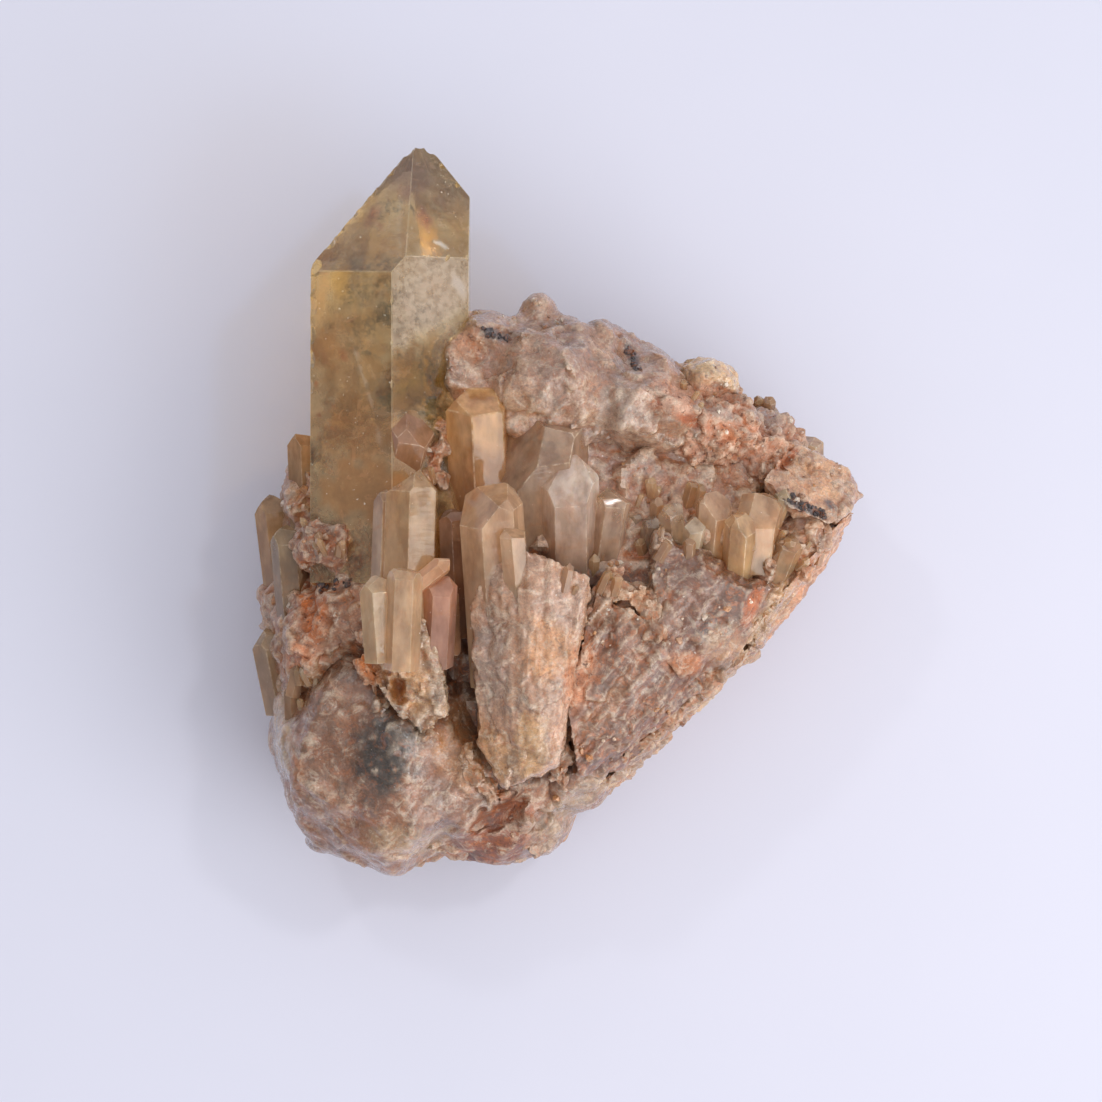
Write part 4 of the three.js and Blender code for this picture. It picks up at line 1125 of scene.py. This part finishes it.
def make_veils(material):
    """Wisps in the large point and in the larger of the small crystals."""
    built, tints = [], []
    for i in range(POINT_VEILS):
        y = between(POINT_VEILS_Y, 701, i)
        room = POINT_ROOM * min(1, (50 - y) / 18)
        side, rise = (0.9 * room * (scatter(702 + k, i) - 0.5) for k in range(2))
        at = POINT_AXIS + np.array([side, y, rise])
        built.append(veil(at, room * (0.25 + 0.3 * scatter(704, i)), 710 + i))
        brown = y > BROWN_VEILS_Y or scatter(705, i) > 0.7
        tints.append(linear(*(BROWN_VEIL_TINT if brown else VEIL_TINT)))
    for i, (foot, tip, radius, *_) in enumerate(CRYSTALS):
        start, tip = np.array(foot, float), np.array(tip, float)
        length = np.linalg.norm(tip - start)
        for k in range(int(1.2 * radius) if radius > 1.5 else 0):
            share = 1 - (1.2 * radius + 0.6 * length * scatter(720 + i, k)) / length
            side = np.array([scatter(730 + i, 3 * k + j) - 0.5 for j in range(3)])
            at = start + (tip - start) * share + 0.5 * radius * side
            built.append(veil(at, radius * (0.25 + 0.25 * scatter(740 + i, k)), 750 + 10 * i + k))
            tints.append(linear(*SMALL_VEIL_TINT))
    corners, faces = joined([(co, own) for co, own, _ in built])
    mesh = mesh_of("healed_cracks", corners, faces)
    paint(mesh, "fade", np.concatenate([fade for _, _, fade in built]))
    paint(mesh, "tint", np.repeat(tints, VEIL_ACROSS**2, axis=0))
    piece("healed_cracks", mesh, material, smooth_below=180)


# The large point

POINT_AXIS = np.array([-21.8, 0.0, 23.5])
POINT_FOOT_Y = -9
POINT_FACES = [
    (60, 10.45, 32.8), (120, 9.93, 32.8), (180, 10.25, 31.9),
    (240, 10.2, 38.2), (300, 10.2, 42.2), (0, 10.2, 41.3),
]
BROAD_END = ((-0.35, 0.62, 0.652), (2.34, 32.9, 10.72))
POINT_WEAR = 0.1
POINT_TINT = (250, 230, 182)
# The frosted right face is painted pale, milky and rough above a line across it: its etching, and a
# painted sheen where it would reflect the lamp.
FROST_SHEEN_FOOT = ((-21.0, 19.8), 0.635)  # a place on the line where the frost and its painted sheen end, and its slope
POINT_GRID = 0.6  # between the points that carry its stains
POINT_SPANS = ((-12, 12), (-9, 49), (-12, 12))
POINT_HAZE = 0.08
FROSTED_SHEEN_FACE = math.radians(60)

# Chips knocked out of its edges: middle, half sizes and turn, in the large point's own frame.
POINT_CHIPS = [
    # the blunt tip and the rough slope to its left
    ((3.2, 49.9, -4.0), (3.4, 2.5, 3.0), 4),
    ((5.1, 47.9, -4.6), (1.0, 1.0, 1.8), -30),
    ((1.8, 47.6, -3.4), (1.5, 1.1, 2.6), 38),
    ((0.5, 46.4, -2.7), (1.7, 1.0, 2.8), 56),
    ((-0.3, 44.8, -2.0), (1.0, 1.2, 2.2), 20),
    ((-1.4, 43.6, -1.3), (1.6, 0.9, 2.4), 60),
    ((-2.5, 42.0, -0.5), (0.8, 1.0, 1.6), 30),
    ((-3.7, 40.4, 0.4), (1.1, 0.7, 1.6), 50),
    ((-5.0, 38.8, 1.3), (0.8, 0.8, 1.4), 30),
    ((-6.6, 36.6, 2.4), (1.0, 0.7, 1.3), 56),
    ((-8.0, 34.9, 3.3), (1.1, 1.1, 1.8), 30),
    # the broken left shoulder and the edge below it
    ((-11.2, 33.2, 1.0), (2.0, 2.8, 7.5), 0),
    ((-10.0, 31.8, 5.2), (1.5, 1.7, 1.6), 30),
    ((-10.4, 29.8, 5.2), (1.3, 2.0, 1.5), 6),
    ((-10.1, 26.6, 5.7), (1.1, 1.7, 1.1), -8),
    ((-10.3, 23.2, 5.5), (0.9, 1.6, 1.1), 10),
    ((-10.2, 19.8, 5.7), (0.7, 1.5, 0.9), 0),
    ((-10.3, 16.2, 5.6), (0.6, 1.2, 0.8), 0),
    # nicks on the other edges
    ((10.3, 33.0, 6.2), (0.6, 0.7, 0.6), 0),
    ((7.6, 32.9, 7.7), (0.3, 0.8, 0.6), -30),
    ((4.8, 33.0, 9.5), (0.5, 0.3, 0.4), 0),
    ((0.5, 27.0, 11.9), (0.35, 0.7, 0.4), 0),
    ((0.5, 21.6, 11.9), (0.3, 0.5, 0.35), 0),
    ((0.5, 16.4, 11.9), (0.35, 0.9, 0.4), 0),
    ((10.3, 24.5, 6.1), (0.5, 1.0, 0.6), 0),
    ((10.3, 36.8, 2.2), (0.4, 0.9, 0.7), 0),
    ((6.6, 45.4, -3.6), (0.6, 0.6, 0.9), -30),
    ((8.6, 42.9, -2.4), (0.5, 0.7, 0.7), -30),
]

# Stains and cloudy places in it, seen from above: x, y, half sizes, turn, colour, strength and how
# milky they are.
POINT_STAIN_RIM = (0.45, 1.25)
POINT_STAIN_WARP = 0.5
POINT_STAINS = [
    (-19.4, 43.8, 3.4, 3.8, 0, (176, 152, 132), 0.9, 0.25),
    (-28.2, 30.0, 1.6, 3.0, 0, (255, 208, 120), 0.8, 0.25),
    (-30.6, 27.6, 1.2, 4.6, -8, (246, 196, 130), 0.8, 0.55),
    (-29.6, 21.4, 1.6, 2.4, 20, (214, 150, 96), 0.7, 0.3),
    (-24.0, 38.4, 0.9, 2.0, -30, (196, 140, 104), 0.8, 0.3),
    (-17.6, 38.2, 1.1, 1.4, 30, (186, 130, 100), 0.8, 0.3),
    (-13.2, 38.0, 1.6, 3.2, 0, (246, 204, 140), 0.6, 0.2),
    # pale and milky over the frosted right face: its etching, and a painted sheen where it would reflect
    # the lamp
    (-16.0, 28.4, 4.6, 5.6, 0, (232, 214, 190), 0.7, 0.45),
    (-18.2, 16.6, 4.2, 5.2, -20, (190, 150, 62), 0.95, 0.1),
    (-26.0, 24.4, 2.6, 0.9, 20, (170, 140, 100), 0.7, 0.2),
    (-26.6, 19.0, 4.6, 8.4, 0, (255, 204, 136), 0.7, 0.26),
    (-25.2, 11.0, 6.0, 5.0, 0, (212, 158, 96), 0.75, 0.35),
    (-25.0, 3.0, 8.0, 5.0, 0, (188, 136, 84), 0.9, 0.7),
    (-31.4, 14.0, 1.6, 4.4, 0, (236, 196, 144), 0.7, 0.5),
    # brown wisps under the tip, the pale scratch low on the left face and rusty specks
    (-24.1, 39.3, 0.3, 2.0, -14, (150, 96, 66), 0.9, 0.45),
    (-23.2, 37.2, 0.5, 1.0, 30, (176, 116, 84), 0.8, 0.4),
    (-17.4, 38.8, 0.3, 1.7, 24, (150, 92, 66), 0.9, 0.45),
    (-16.7, 37.2, 0.35, 1.1, -20, (164, 104, 78), 0.8, 0.4),
    (-20.4, 36.4, 0.25, 4.6, 2, (244, 232, 206), 0.6, 0.4),
    (-25.0, 17.2, 0.2, 4.8, 18, (252, 232, 206), 0.55, 0.5),
    (-23.1, 10.4, 0.2, 1.9, 8, (250, 228, 200), 0.4, 0.4),
    (-26.6, 24.6, 0.5, 0.35, 0, (112, 76, 50), 0.9, 0.6),
    (-30.9, 12.6, 0.4, 0.4, 0, (150, 92, 60), 0.9, 0.7),
    (-31.3, 16.6, 0.35, 0.6, 0, (190, 118, 70), 0.9, 0.7),
    (-29.0, 13.9, 0.5, 0.3, 0, (176, 110, 66), 0.8, 0.6),
    (-27.6, 20.3, 0.5, 1.2, 20, (196, 122, 78), 0.7, 0.5),
    (-12.9, 29.2, 0.7, 1.5, 24, (252, 250, 246), 0.95, 0.95),
    (-15.4, 34.6, 1.2, 0.3, -20, (252, 250, 246), 0.9, 0.8),
    (-19.6, 27.4, 0.9, 1.4, 0, (160, 136, 118), 0.6, 0.4),
]


def point_planes():
    along = np.array([0.0, 1.0, 0.0])
    planes = [(-along, -POINT_FOOT_Y)]
    for degrees, distance, end_y in POINT_FACES:
        angle = math.radians(degrees)
        outward = np.array([math.cos(angle), 0, math.sin(angle)])
        end = along * math.sin(END_SLOPE) + outward * math.cos(END_SLOPE)
        planes.append((outward, distance))
        planes.append((end, math.sin(END_SLOPE) * end_y + math.cos(END_SLOPE) * distance))
    broad = unit(np.array(BROAD_END[0]))
    planes.append((broad, broad @ np.array(BROAD_END[1])))
    return planes


def cut_away(mesh, cutters):
    """A mesh less one closed cutter after another; the cut faces are marked as worn."""
    for corners, faces in cutters:
        tool = placed("cutter", mesh_of("cutter", corners, faces))
        paint_faces(tool.data, "edge", np.ones(len(faces)))
        mesh = modified(mesh, ("BOOLEAN", dict(operation="DIFFERENCE", object=tool, solver="EXACT")))
        bpy.data.objects.remove(tool)
    return mesh


def make_point(material):
    shape = worn_shape(point_planes(), POINT_WEAR, segments=2)
    mesh = bpy.data.meshes.new("large_point")
    shape.to_mesh(mesh)
    shape.free()
    chips = [
        hull_mesh(lump_points(at, size, turn, 300 + i, 24))
        for i, (at, size, turn) in enumerate(POINT_CHIPS)
    ]
    mesh = cut_away(mesh, chips)
    shape = bmesh.new()
    shape.from_mesh(mesh)
    for axis, (low, high) in enumerate(POINT_SPANS):
        direction = [float(k == axis) for k in range(3)]
        start = np.array(direction) * low
        sliced(shape, start, direction, POINT_GRID, int((high - low) / POINT_GRID))
    shape.to_mesh(mesh)
    shape.free()
    co = places(mesh) + POINT_AXIS
    tint = linear(*POINT_TINT) * np.ones_like(co)
    haze = np.full(len(co), POINT_HAZE)
    warp = 0.5 * fractal(co, 2.0, 401) + 0.3 * noise(co, 0.9, 402)
    for x, y, half_x, half_y, turn, shade, strength, milk in POINT_STAINS:
        away = away_in_plan(co, (x, y), (half_x, half_y), turn)
        weight = strength * (1 - smoothstep(away + POINT_STAIN_WARP * warp, *POINT_STAIN_RIM))
        tint += (linear(*shade) - tint) * weight[:, None]
        haze += (milk - haze) * weight
    set_places(mesh, co)
    paint(mesh, "tint", tint)
    paint(mesh, "haze", haze)
    # marks the frosted face above that line, later painted as etching with a painted sheen
    (foot_x, foot_y), rise = FROST_SHEEN_FOOT
    above = co[:, 1] - foot_y - rise * (co[:, 0] - foot_x)
    paint(mesh, "etched_sheen_zone", smoothstep(above + 2.0 * warp, -0.6, 1.6))
    facing = np.array([math.cos(FROSTED_SHEEN_FACE), 0, math.sin(FROSTED_SHEEN_FACE)])
    paint_faces(mesh, "frost_and_sheen", [float(np.dot(p.normal, facing) > 0.985) for p in mesh.polygons])
    piece("large_point", mesh, material, smooth_below=14)


# Materials

def new_material(name):
    """An empty node material: its node tree, its Principled shader and its output."""
    material = bpy.data.materials.new(name)
    material.use_nodes = True
    tree = material.node_tree
    tree.nodes.clear()
    output = tree.nodes.new("ShaderNodeOutputMaterial")
    shader = tree.nodes.new("ShaderNodeBsdfPrincipled")
    tree.links.new(shader.outputs[0], output.inputs["Surface"])
    return material, tree, shader, output


def plug(tree, made, inputs):
    """Sets a node's inputs; each is a value or another node's output."""
    for key, value in inputs.items():
        if isinstance(value, bpy.types.NodeSocket):
            tree.links.new(value, made.inputs[key])
        else:
            made.inputs[key].default_value = value


def node(tree, kind, inputs=None, **settings):
    """A node with its settings and inputs."""
    made = tree.nodes.new("ShaderNode" + kind)
    for key, value in settings.items():
        setattr(made, key, value)
    plug(tree, made, inputs or {})
    return made


def mix(tree, share, first, second, kind="MIX"):
    """One colour mixed with another by share; a colour is 0 to 255 or another node's output."""
    made = node(tree, "Mix", {0: share}, data_type="RGBA", blend_type=kind)
    colours = [
        value if isinstance(value, bpy.types.NodeSocket) else (*linear(*value), 1)
        for value in (first, second)
    ]
    plug(tree, made, {6: colours[0], 7: colours[1]})
    return made.outputs[2]


def spread(tree, value, low, high, to_low=0.0, to_high=1.0):
    """A value from one range mapped to another, and held within it."""
    inputs = {0: value, 1: low, 2: high, 3: to_low, 4: to_high}
    return node(tree, "MapRange", inputs, clamp=True).outputs[0]


def worked(tree, operation, first, second):
    return node(tree, "Math", {0: first, 1: second}, operation=operation).outputs[0]


def added(tree, *values):
    return reduce(lambda first, second: worked(tree, "ADD", first, second), values)


def vector_worked(tree, operation, first, second):
    return node(tree, "VectorMath", {0: first, 1: second}, operation=operation).outputs[0]


def painted(tree, name):
    return node(tree, "Attribute", attribute_name=name)


def noise_at(tree, place, scale, detail=4.0, roughness=0.6):
    inputs = {"Vector": place, "Scale": scale, "Detail": detail, "Roughness": roughness}
    return node(tree, "TexNoise", inputs).outputs[0]


def wisps(tree, place, scale, twist, shift=0.0):
    """Ragged drawn-out clouds, from 0 to 1; a shift gives others."""
    moved = vector_worked(tree, "ADD", place, (shift, -shift, 2 * shift))
    inputs = {"Vector": moved, "Scale": scale, "Detail": 4.0, "Roughness": 0.72, "Distortion": twist}
    return node(tree, "TexNoise", inputs).outputs[0]


def facet_height(tree, place, scale):
    """Heights of small flat facets, each tilted its own way."""
    cells = node(tree, "TexVoronoi", {"Vector": place, "Scale": scale, "Randomness": 1.0})
    away = vector_worked(tree, "SUBTRACT", place, cells.outputs["Position"])
    tilt = vector_worked(tree, "SUBTRACT", cells.outputs["Color"], (0.5, 0.5, 0.5))
    dot = node(tree, "VectorMath", {0: away, 1: tilt}, operation="DOT_PRODUCT")
    return dot.outputs["Value"]


def bumped(tree, height, strength, distance, normal=None):
    inputs = {"Height": height, "Strength": strength, "Distance": distance}
    if normal is not None:
        inputs["Normal"] = normal
    return node(tree, "Bump", inputs).outputs[0]


def let_lamps_through(tree, shader, output, tint):
    """Lets the light of lamps straight through a clear material, tinted."""
    path = node(tree, "LightPath")
    open_ = node(tree, "BsdfTransparent", {"Color": (*tint, 1)})
    inputs = {0: path.outputs["Is Shadow Ray"], 1: shader.outputs[0], 2: open_.outputs[0]}
    either = node(tree, "MixShader", inputs)
    tree.links.new(either.outputs[0], output.inputs["Surface"])


def place_in_mm(tree):
    """The object's own coordinates in millimetres."""
    where = node(tree, "TexCoord").outputs["Object"]
    return node(tree, "VectorMath", {0: where, "Scale": 1 / MM}, operation="SCALE").outputs[0]


def rock_material():
    """Cloudy quartz: glassy where it is clean, dull and rusty where it is earthy."""
    material, tree, shader, _ = new_material("cloudy_quartz")
    where = place_in_mm(tree)
    tint = painted(tree, "tint").outputs["Color"]
    earthy = painted(tree, "earthy").outputs["Fac"]
    cloud = noise_at(tree, where, 0.3, 4.0, 0.62)
    shade = mix(tree, 1.0, tint, spread(tree, cloud, 0.32, 0.68, 0.7, 1.2), "MULTIPLY")
    lit = spread(tree, tint, 0.04, 0.14)
    pale = spread(tree, wisps(tree, where, 0.35, 1.8), 0.52, 0.62, 0.0, 0.46)
    shade = mix(tree, worked(tree, "MULTIPLY", pale, lit), shade, (218, 198, 174))
    smoky = wisps(tree, where, 0.42, 1.4, 4.7)
    shade = mix(tree, spread(tree, smoky, 0.52, 0.64, 0.0, 0.5), shade, (104, 84, 70))
    rust = spread(tree, wisps(tree, where, 0.6, 1.6, 9.1), 0.52, 0.62, 0.0, 0.66)
    rust = worked(tree, "MULTIPLY", rust, spread(tree, earthy, 0.0, 0.6, 0.45, 1.0))
    shade = mix(tree, rust, shade, (178, 104, 56))
    grain = noise_at(tree, where, 3.5, 2.0, 0.75)
    shade = mix(tree, 1.0, shade, spread(tree, grain, 0.3, 0.7, 0.74, 1.18), "MULTIPLY")
    # painted glints: scattered white specks
    glint_specks = spread(tree, noise_at(tree, where, 1.6, 4.0, 0.7), 0.68, 0.73, 0.0, 0.8)
    shade = mix(tree, glint_specks, shade, (244, 236, 226))
    burn = spread(tree, noise_at(tree, where, 1.7, 3.0, 0.5), 0.6, 0.68)
    burn = worked(tree, "MULTIPLY", burn, spread(tree, earthy, 0.0, 1.0, 0.2, 0.8))
    shade = mix(tree, burn, shade, (92, 52, 34))
    dull = spread(tree, earthy, 0.0, 1.0, 0.0, 0.4)
    polish = spread(tree, noise_at(tree, where, 0.8, 2.0, 0.6), 0.35, 0.68, 0.12, 0.4)
    fine = noise_at(tree, where, 1.6, 3.0, 0.66)
    normal = bumped(tree, fine, 0.35, 0.25 * MM)
    normal = bumped(tree, grain, 0.25, 0.1 * MM, normal)
    crisp = bumped(tree, facet_height(tree, where, 0.9), 0.8, 0.8 * MM, normal)
    crisp = bumped(tree, facet_height(tree, where, 2.7), 0.6, 0.6 * MM, crisp)
    plug(tree, shader, {
        "Base Color": shade,
        "Roughness": worked(tree, "ADD", polish, dull),
        "IOR": QUARTZ_IOR,
        "Normal": normal,
        "Subsurface Weight": spread(tree, earthy, 0.0, 0.6, 0.3, 0.0),
        "Subsurface Radius": (1.0, 0.6, 0.34),
        "Subsurface Scale": 1.0 * MM,
        "Coat Weight": spread(tree, earthy, 0.0, 0.9, 1.0, 0.15),
        "Coat Roughness": 0.08,
        "Coat IOR": QUARTZ_IOR,
        "Coat Normal": crisp,
    })
    return material


def crystal_material():
    """The small crystals: half clear, half milky, with growth lines across their faces."""
    material, tree, shader, output = new_material("small_quartz")
    where = place_in_mm(tree)
    local = painted(tree, "local").outputs["Vector"]
    tint = painted(tree, "tint").outputs["Color"]
    haze = painted(tree, "haze").outputs["Fac"]
    edge = painted(tree, "edge").outputs["Fac"]
    # worn edges painted pale and milky in patches: their wear, and a painted highlight along them
    edge_wear_and_highlight = worked(tree, "MULTIPLY", edge, spread(tree, noise_at(tree, where, 1.2), 0.42, 0.62))
    cloud = noise_at(tree, where, 0.3, 3.0, 0.5)
    shade = mix(tree, 1.0, tint, spread(tree, cloud, 0.3, 0.7, 0.88, 1.1), "MULTIPLY")
    stain = spread(tree, wisps(tree, where, 0.25, 1.2), 0.55, 0.68, 0.0, 0.3)
    shade = mix(tree, stain, shade, (206, 146, 96))
    # painted glints: small white flecks, milky as well
    glint_fleck = spread(tree, noise_at(tree, where, 0.9, 4.0, 0.7), 0.68, 0.74, 0.0, 0.6)
    shade = mix(tree, glint_fleck, shade, (250, 244, 236))
    shade = mix(tree, worked(tree, "MULTIPLY", edge_wear_and_highlight, 0.4), shade, (240, 224, 204))
    drawn = vector_worked(tree, "MULTIPLY", local, (0.5, 0.5, 0.2))
    veil = spread(tree, noise_at(tree, drawn, 1.0, 4.0, 0.55), 0.4, 0.66, -0.15, 0.3)
    milky = added(tree, haze, veil, worked(tree, "MULTIPLY", edge_wear_and_highlight, 0.3), glint_fleck)
    stretched = vector_worked(tree, "MULTIPLY", local, (0.3, 0.3, 2.2))
    lines = noise_at(tree, stretched, 1.0, 3.0, 0.5)
    normal = bumped(tree, lines, 0.2, 0.12 * MM)
    normal = bumped(tree, facet_height(tree, where, 0.5), 0.1, 0.5 * MM, normal)
    plug(tree, shader, {
        "Base Color": shade,
        "Roughness": spread(tree, cloud, 0.35, 0.7, 0.02, 0.12),
        "IOR": QUARTZ_IOR,
        "Normal": normal,
        "Transmission Weight": spread(tree, milky, 0.1, 1.2, 0.9, 0.2),
        "Subsurface Weight": 0.5,
        "Subsurface Radius": (1.0, 0.75, 0.5),
        "Subsurface Scale": 2.4 * MM,
    })
    let_lamps_through(tree, shader, output, linear(226, 206, 180))
    return material


def point_material():
    """The large point: clear smoky yellow quartz, stained and cloudy in places."""
    material, tree, shader, output = new_material("clear_citrine")
    where = place_in_mm(tree)
    tint = painted(tree, "tint").outputs["Color"]
    haze = painted(tree, "haze").outputs["Fac"]
    edge = painted(tree, "edge").outputs["Fac"]
    # the frosted face: its etching, and a painted sheen in place of the lamp it would reflect
    etched_sheen_zone = painted(tree, "etched_sheen_zone").outputs["Fac"]
    frost_and_sheen = worked(tree, "MULTIPLY", painted(tree, "frost_and_sheen").outputs["Fac"], etched_sheen_zone)
    cloud = noise_at(tree, where, 0.3, 3.0, 0.6)
    shade = mix(tree, 1.0, tint, spread(tree, cloud, 0.3, 0.7, 0.86, 1.0), "MULTIPLY")
    brown = spread(tree, wisps(tree, where, 0.28, 1.6), 0.55, 0.64, 0.0, 0.5)
    shade = mix(tree, brown, shade, (176, 124, 84))
    # painted glints: small white flecks, milky as well
    glint_fleck = spread(tree, noise_at(tree, where, 1.8, 3.0, 0.55), 0.7, 0.74, 0.0, 0.8)
    shade = mix(tree, glint_fleck, shade, (252, 246, 232))
    shade = mix(tree, worked(tree, "MULTIPLY", frost_and_sheen, 0.8), shade, (178, 156, 134))
    # edges and chip faces painted pale and milky: their wear, and a painted highlight along them
    shade = mix(tree, worked(tree, "MULTIPLY", edge, 0.3), shade, (240, 226, 200))
    veil = spread(tree, noise_at(tree, where, 0.35, 4.0, 0.66), 0.42, 0.7, 0.0, 0.2)
    pitting = spread(tree, noise_at(tree, where, 1.1, 3.0, 0.7), 0.4, 0.62, 0.15, 0.6)
    etched_sheen = worked(tree, "MULTIPLY", frost_and_sheen, pitting)
    clouded = worked(tree, "MULTIPLY", brown, 0.6)
    worn_edge_highlight_milk = worked(tree, "MULTIPLY", edge, 0.22)
    milky = added(tree, haze, veil, etched_sheen, glint_fleck, clouded, worn_edge_highlight_milk)
    satin = spread(tree, cloud, 0.35, 0.7, 0.03, 0.14)
    satin = worked(tree, "ADD", satin, worked(tree, "MULTIPLY", frost_and_sheen, 0.2))
    stretched = vector_worked(tree, "MULTIPLY", where, (0.25, 1.6, 0.25))
    normal = bumped(tree, noise_at(tree, stretched, 1.0, 4.0, 0.55), 0.15, 0.2 * MM)
    normal = bumped(tree, noise_at(tree, where, 2.0, 4.0, 0.6), 0.12, 0.12 * MM, normal)
    plug(tree, shader, {
        "Base Color": shade,
        "Roughness": satin,
        "IOR": QUARTZ_IOR,
        "Normal": normal,
        "Transmission Weight": spread(tree, milky, 0.0, 1.0, 1.0, 0.2),
    })
    let_lamps_through(tree, shader, output, linear(238, 222, 172))
    absorb = node(tree, "VolumeAbsorption", {"Color": (0.8, 0.64, 0.3, 1), "Density": 58.0})
    tree.links.new(absorb.outputs[0], output.inputs["Volume"])
    return material


def veil_material():
    """Healed cracks: faint ragged wisps that catch the light."""
    material, tree, shader, _ = new_material("healed_crack")
    where = place_in_mm(tree)
    ragged = spread(tree, noise_at(tree, where, 1.3, 3.0, 0.7), 0.44, 0.66, 0.0, 0.75)
    fade = painted(tree, "fade").outputs["Fac"]
    plug(tree, shader, {
        "Base Color": painted(tree, "tint").outputs["Color"],
        "Roughness": 0.3,
        "Alpha": worked(tree, "MULTIPLY", ragged, fade),
    })
    return material


def floor_material():
    """Pale matt card with a faint unevenness."""
    material, tree, shader, _ = new_material("pale_card")
    where = place_in_mm(tree)
    soft = noise_at(tree, where, 0.02, 3.0, 0.5)
    shade = mix(tree, soft, (217, 218, 232), (223, 223, 237))
    plug(tree, shader, {"Base Color": shade, "Roughness": 0.85})
    return material


# Floor, light and camera

FLOOR_SIZE = 3.0
CAMERA_AT = (-0.975, -4.94, 625.0)  # straight above, in millimetres
CAMERA_LENS = 150.8
SENSOR = 36.0
# Each lamp: where it is, its size, its power and its tone. The small ones give the glints.
LAMPS = [
    ("softbox", (0.36, -0.26, 0.29), 0.42, 1.45, (1.0, 0.985, 0.96)),
    ("spark_right", (0.22, 0.16, 0.52), 0.045, 0.28, (1.0, 1.0, 1.0)),
    ("spark_left", (-0.20, 0.26, 0.46), 0.04, 0.16, (1.0, 1.0, 1.0)),
]
LAMP_AIM = (0, 0, 0.02)
SKY = (0.95, 0.955, 1.0)
SKY_SIDE = (0.62, 0.12, 0.775)  # the side that the sky is brightest on
SKY_STRENGTHS = (0.32, 1.04)  # away from that side, and at it


def make_floor():
    half = FLOOR_SIZE / 2
    corners = [(-half, -half, 0), (half, -half, 0), (half, half, 0), (-half, half, 0)]
    mesh = mesh_of("floor", corners, [(0, 1, 2, 3)])
    mesh.materials.append(floor_material())
    floor = placed("floor", mesh)


def make_lamp(name, at, size, power, tone):
    """A square softbox that faces the object."""
    light = bpy.data.lights.new(name, "AREA")
    light.shape = "SQUARE"
    light.size = size
    light.energy = power
    light.color = tone
    lamp = placed(name, light)
    lamp.location = at
    lamp.rotation_mode = "QUATERNION"
    lamp.rotation_quaternion = (Vector(LAMP_AIM) - Vector(at)).to_track_quat("-Z", "Y")


def make_light():
    for lamp in LAMPS:
        make_lamp(*lamp)
    world = bpy.data.worlds.new("studio")
    world.use_nodes = True
    tree = world.node_tree
    background = tree.nodes["Background"]
    background.inputs["Color"].default_value = (*SKY, 1)
    around = node(tree, "TexCoord").outputs["Generated"]
    bright = node(tree, "VectorMath", {0: around, 1: SKY_SIDE}, operation="DOT_PRODUCT").outputs["Value"]
    tree.links.new(spread(tree, bright, -0.3, 1.0, *SKY_STRENGTHS), background.inputs["Strength"])
    bpy.context.scene.world = world


def make_camera():
    lens = bpy.data.cameras.new("camera")
    lens.sensor_width = SENSOR
    lens.lens = CAMERA_LENS
    lens.clip_start, lens.clip_end = 0.01, 10
    camera = placed("camera", lens)
    camera.location = (np.array(CAMERA_AT) + SHIFT) * MM
    bpy.context.scene.camera = camera


scene = bpy.context.scene
scene.view_settings.view_transform = "Standard"
scene.cycles.use_denoising = True
make_floor()
make_light()
make_camera()
surface = make_mass(rock_material())
make_crystals(crystal_material(), surface)
make_point(point_material())
make_veils(veil_material())
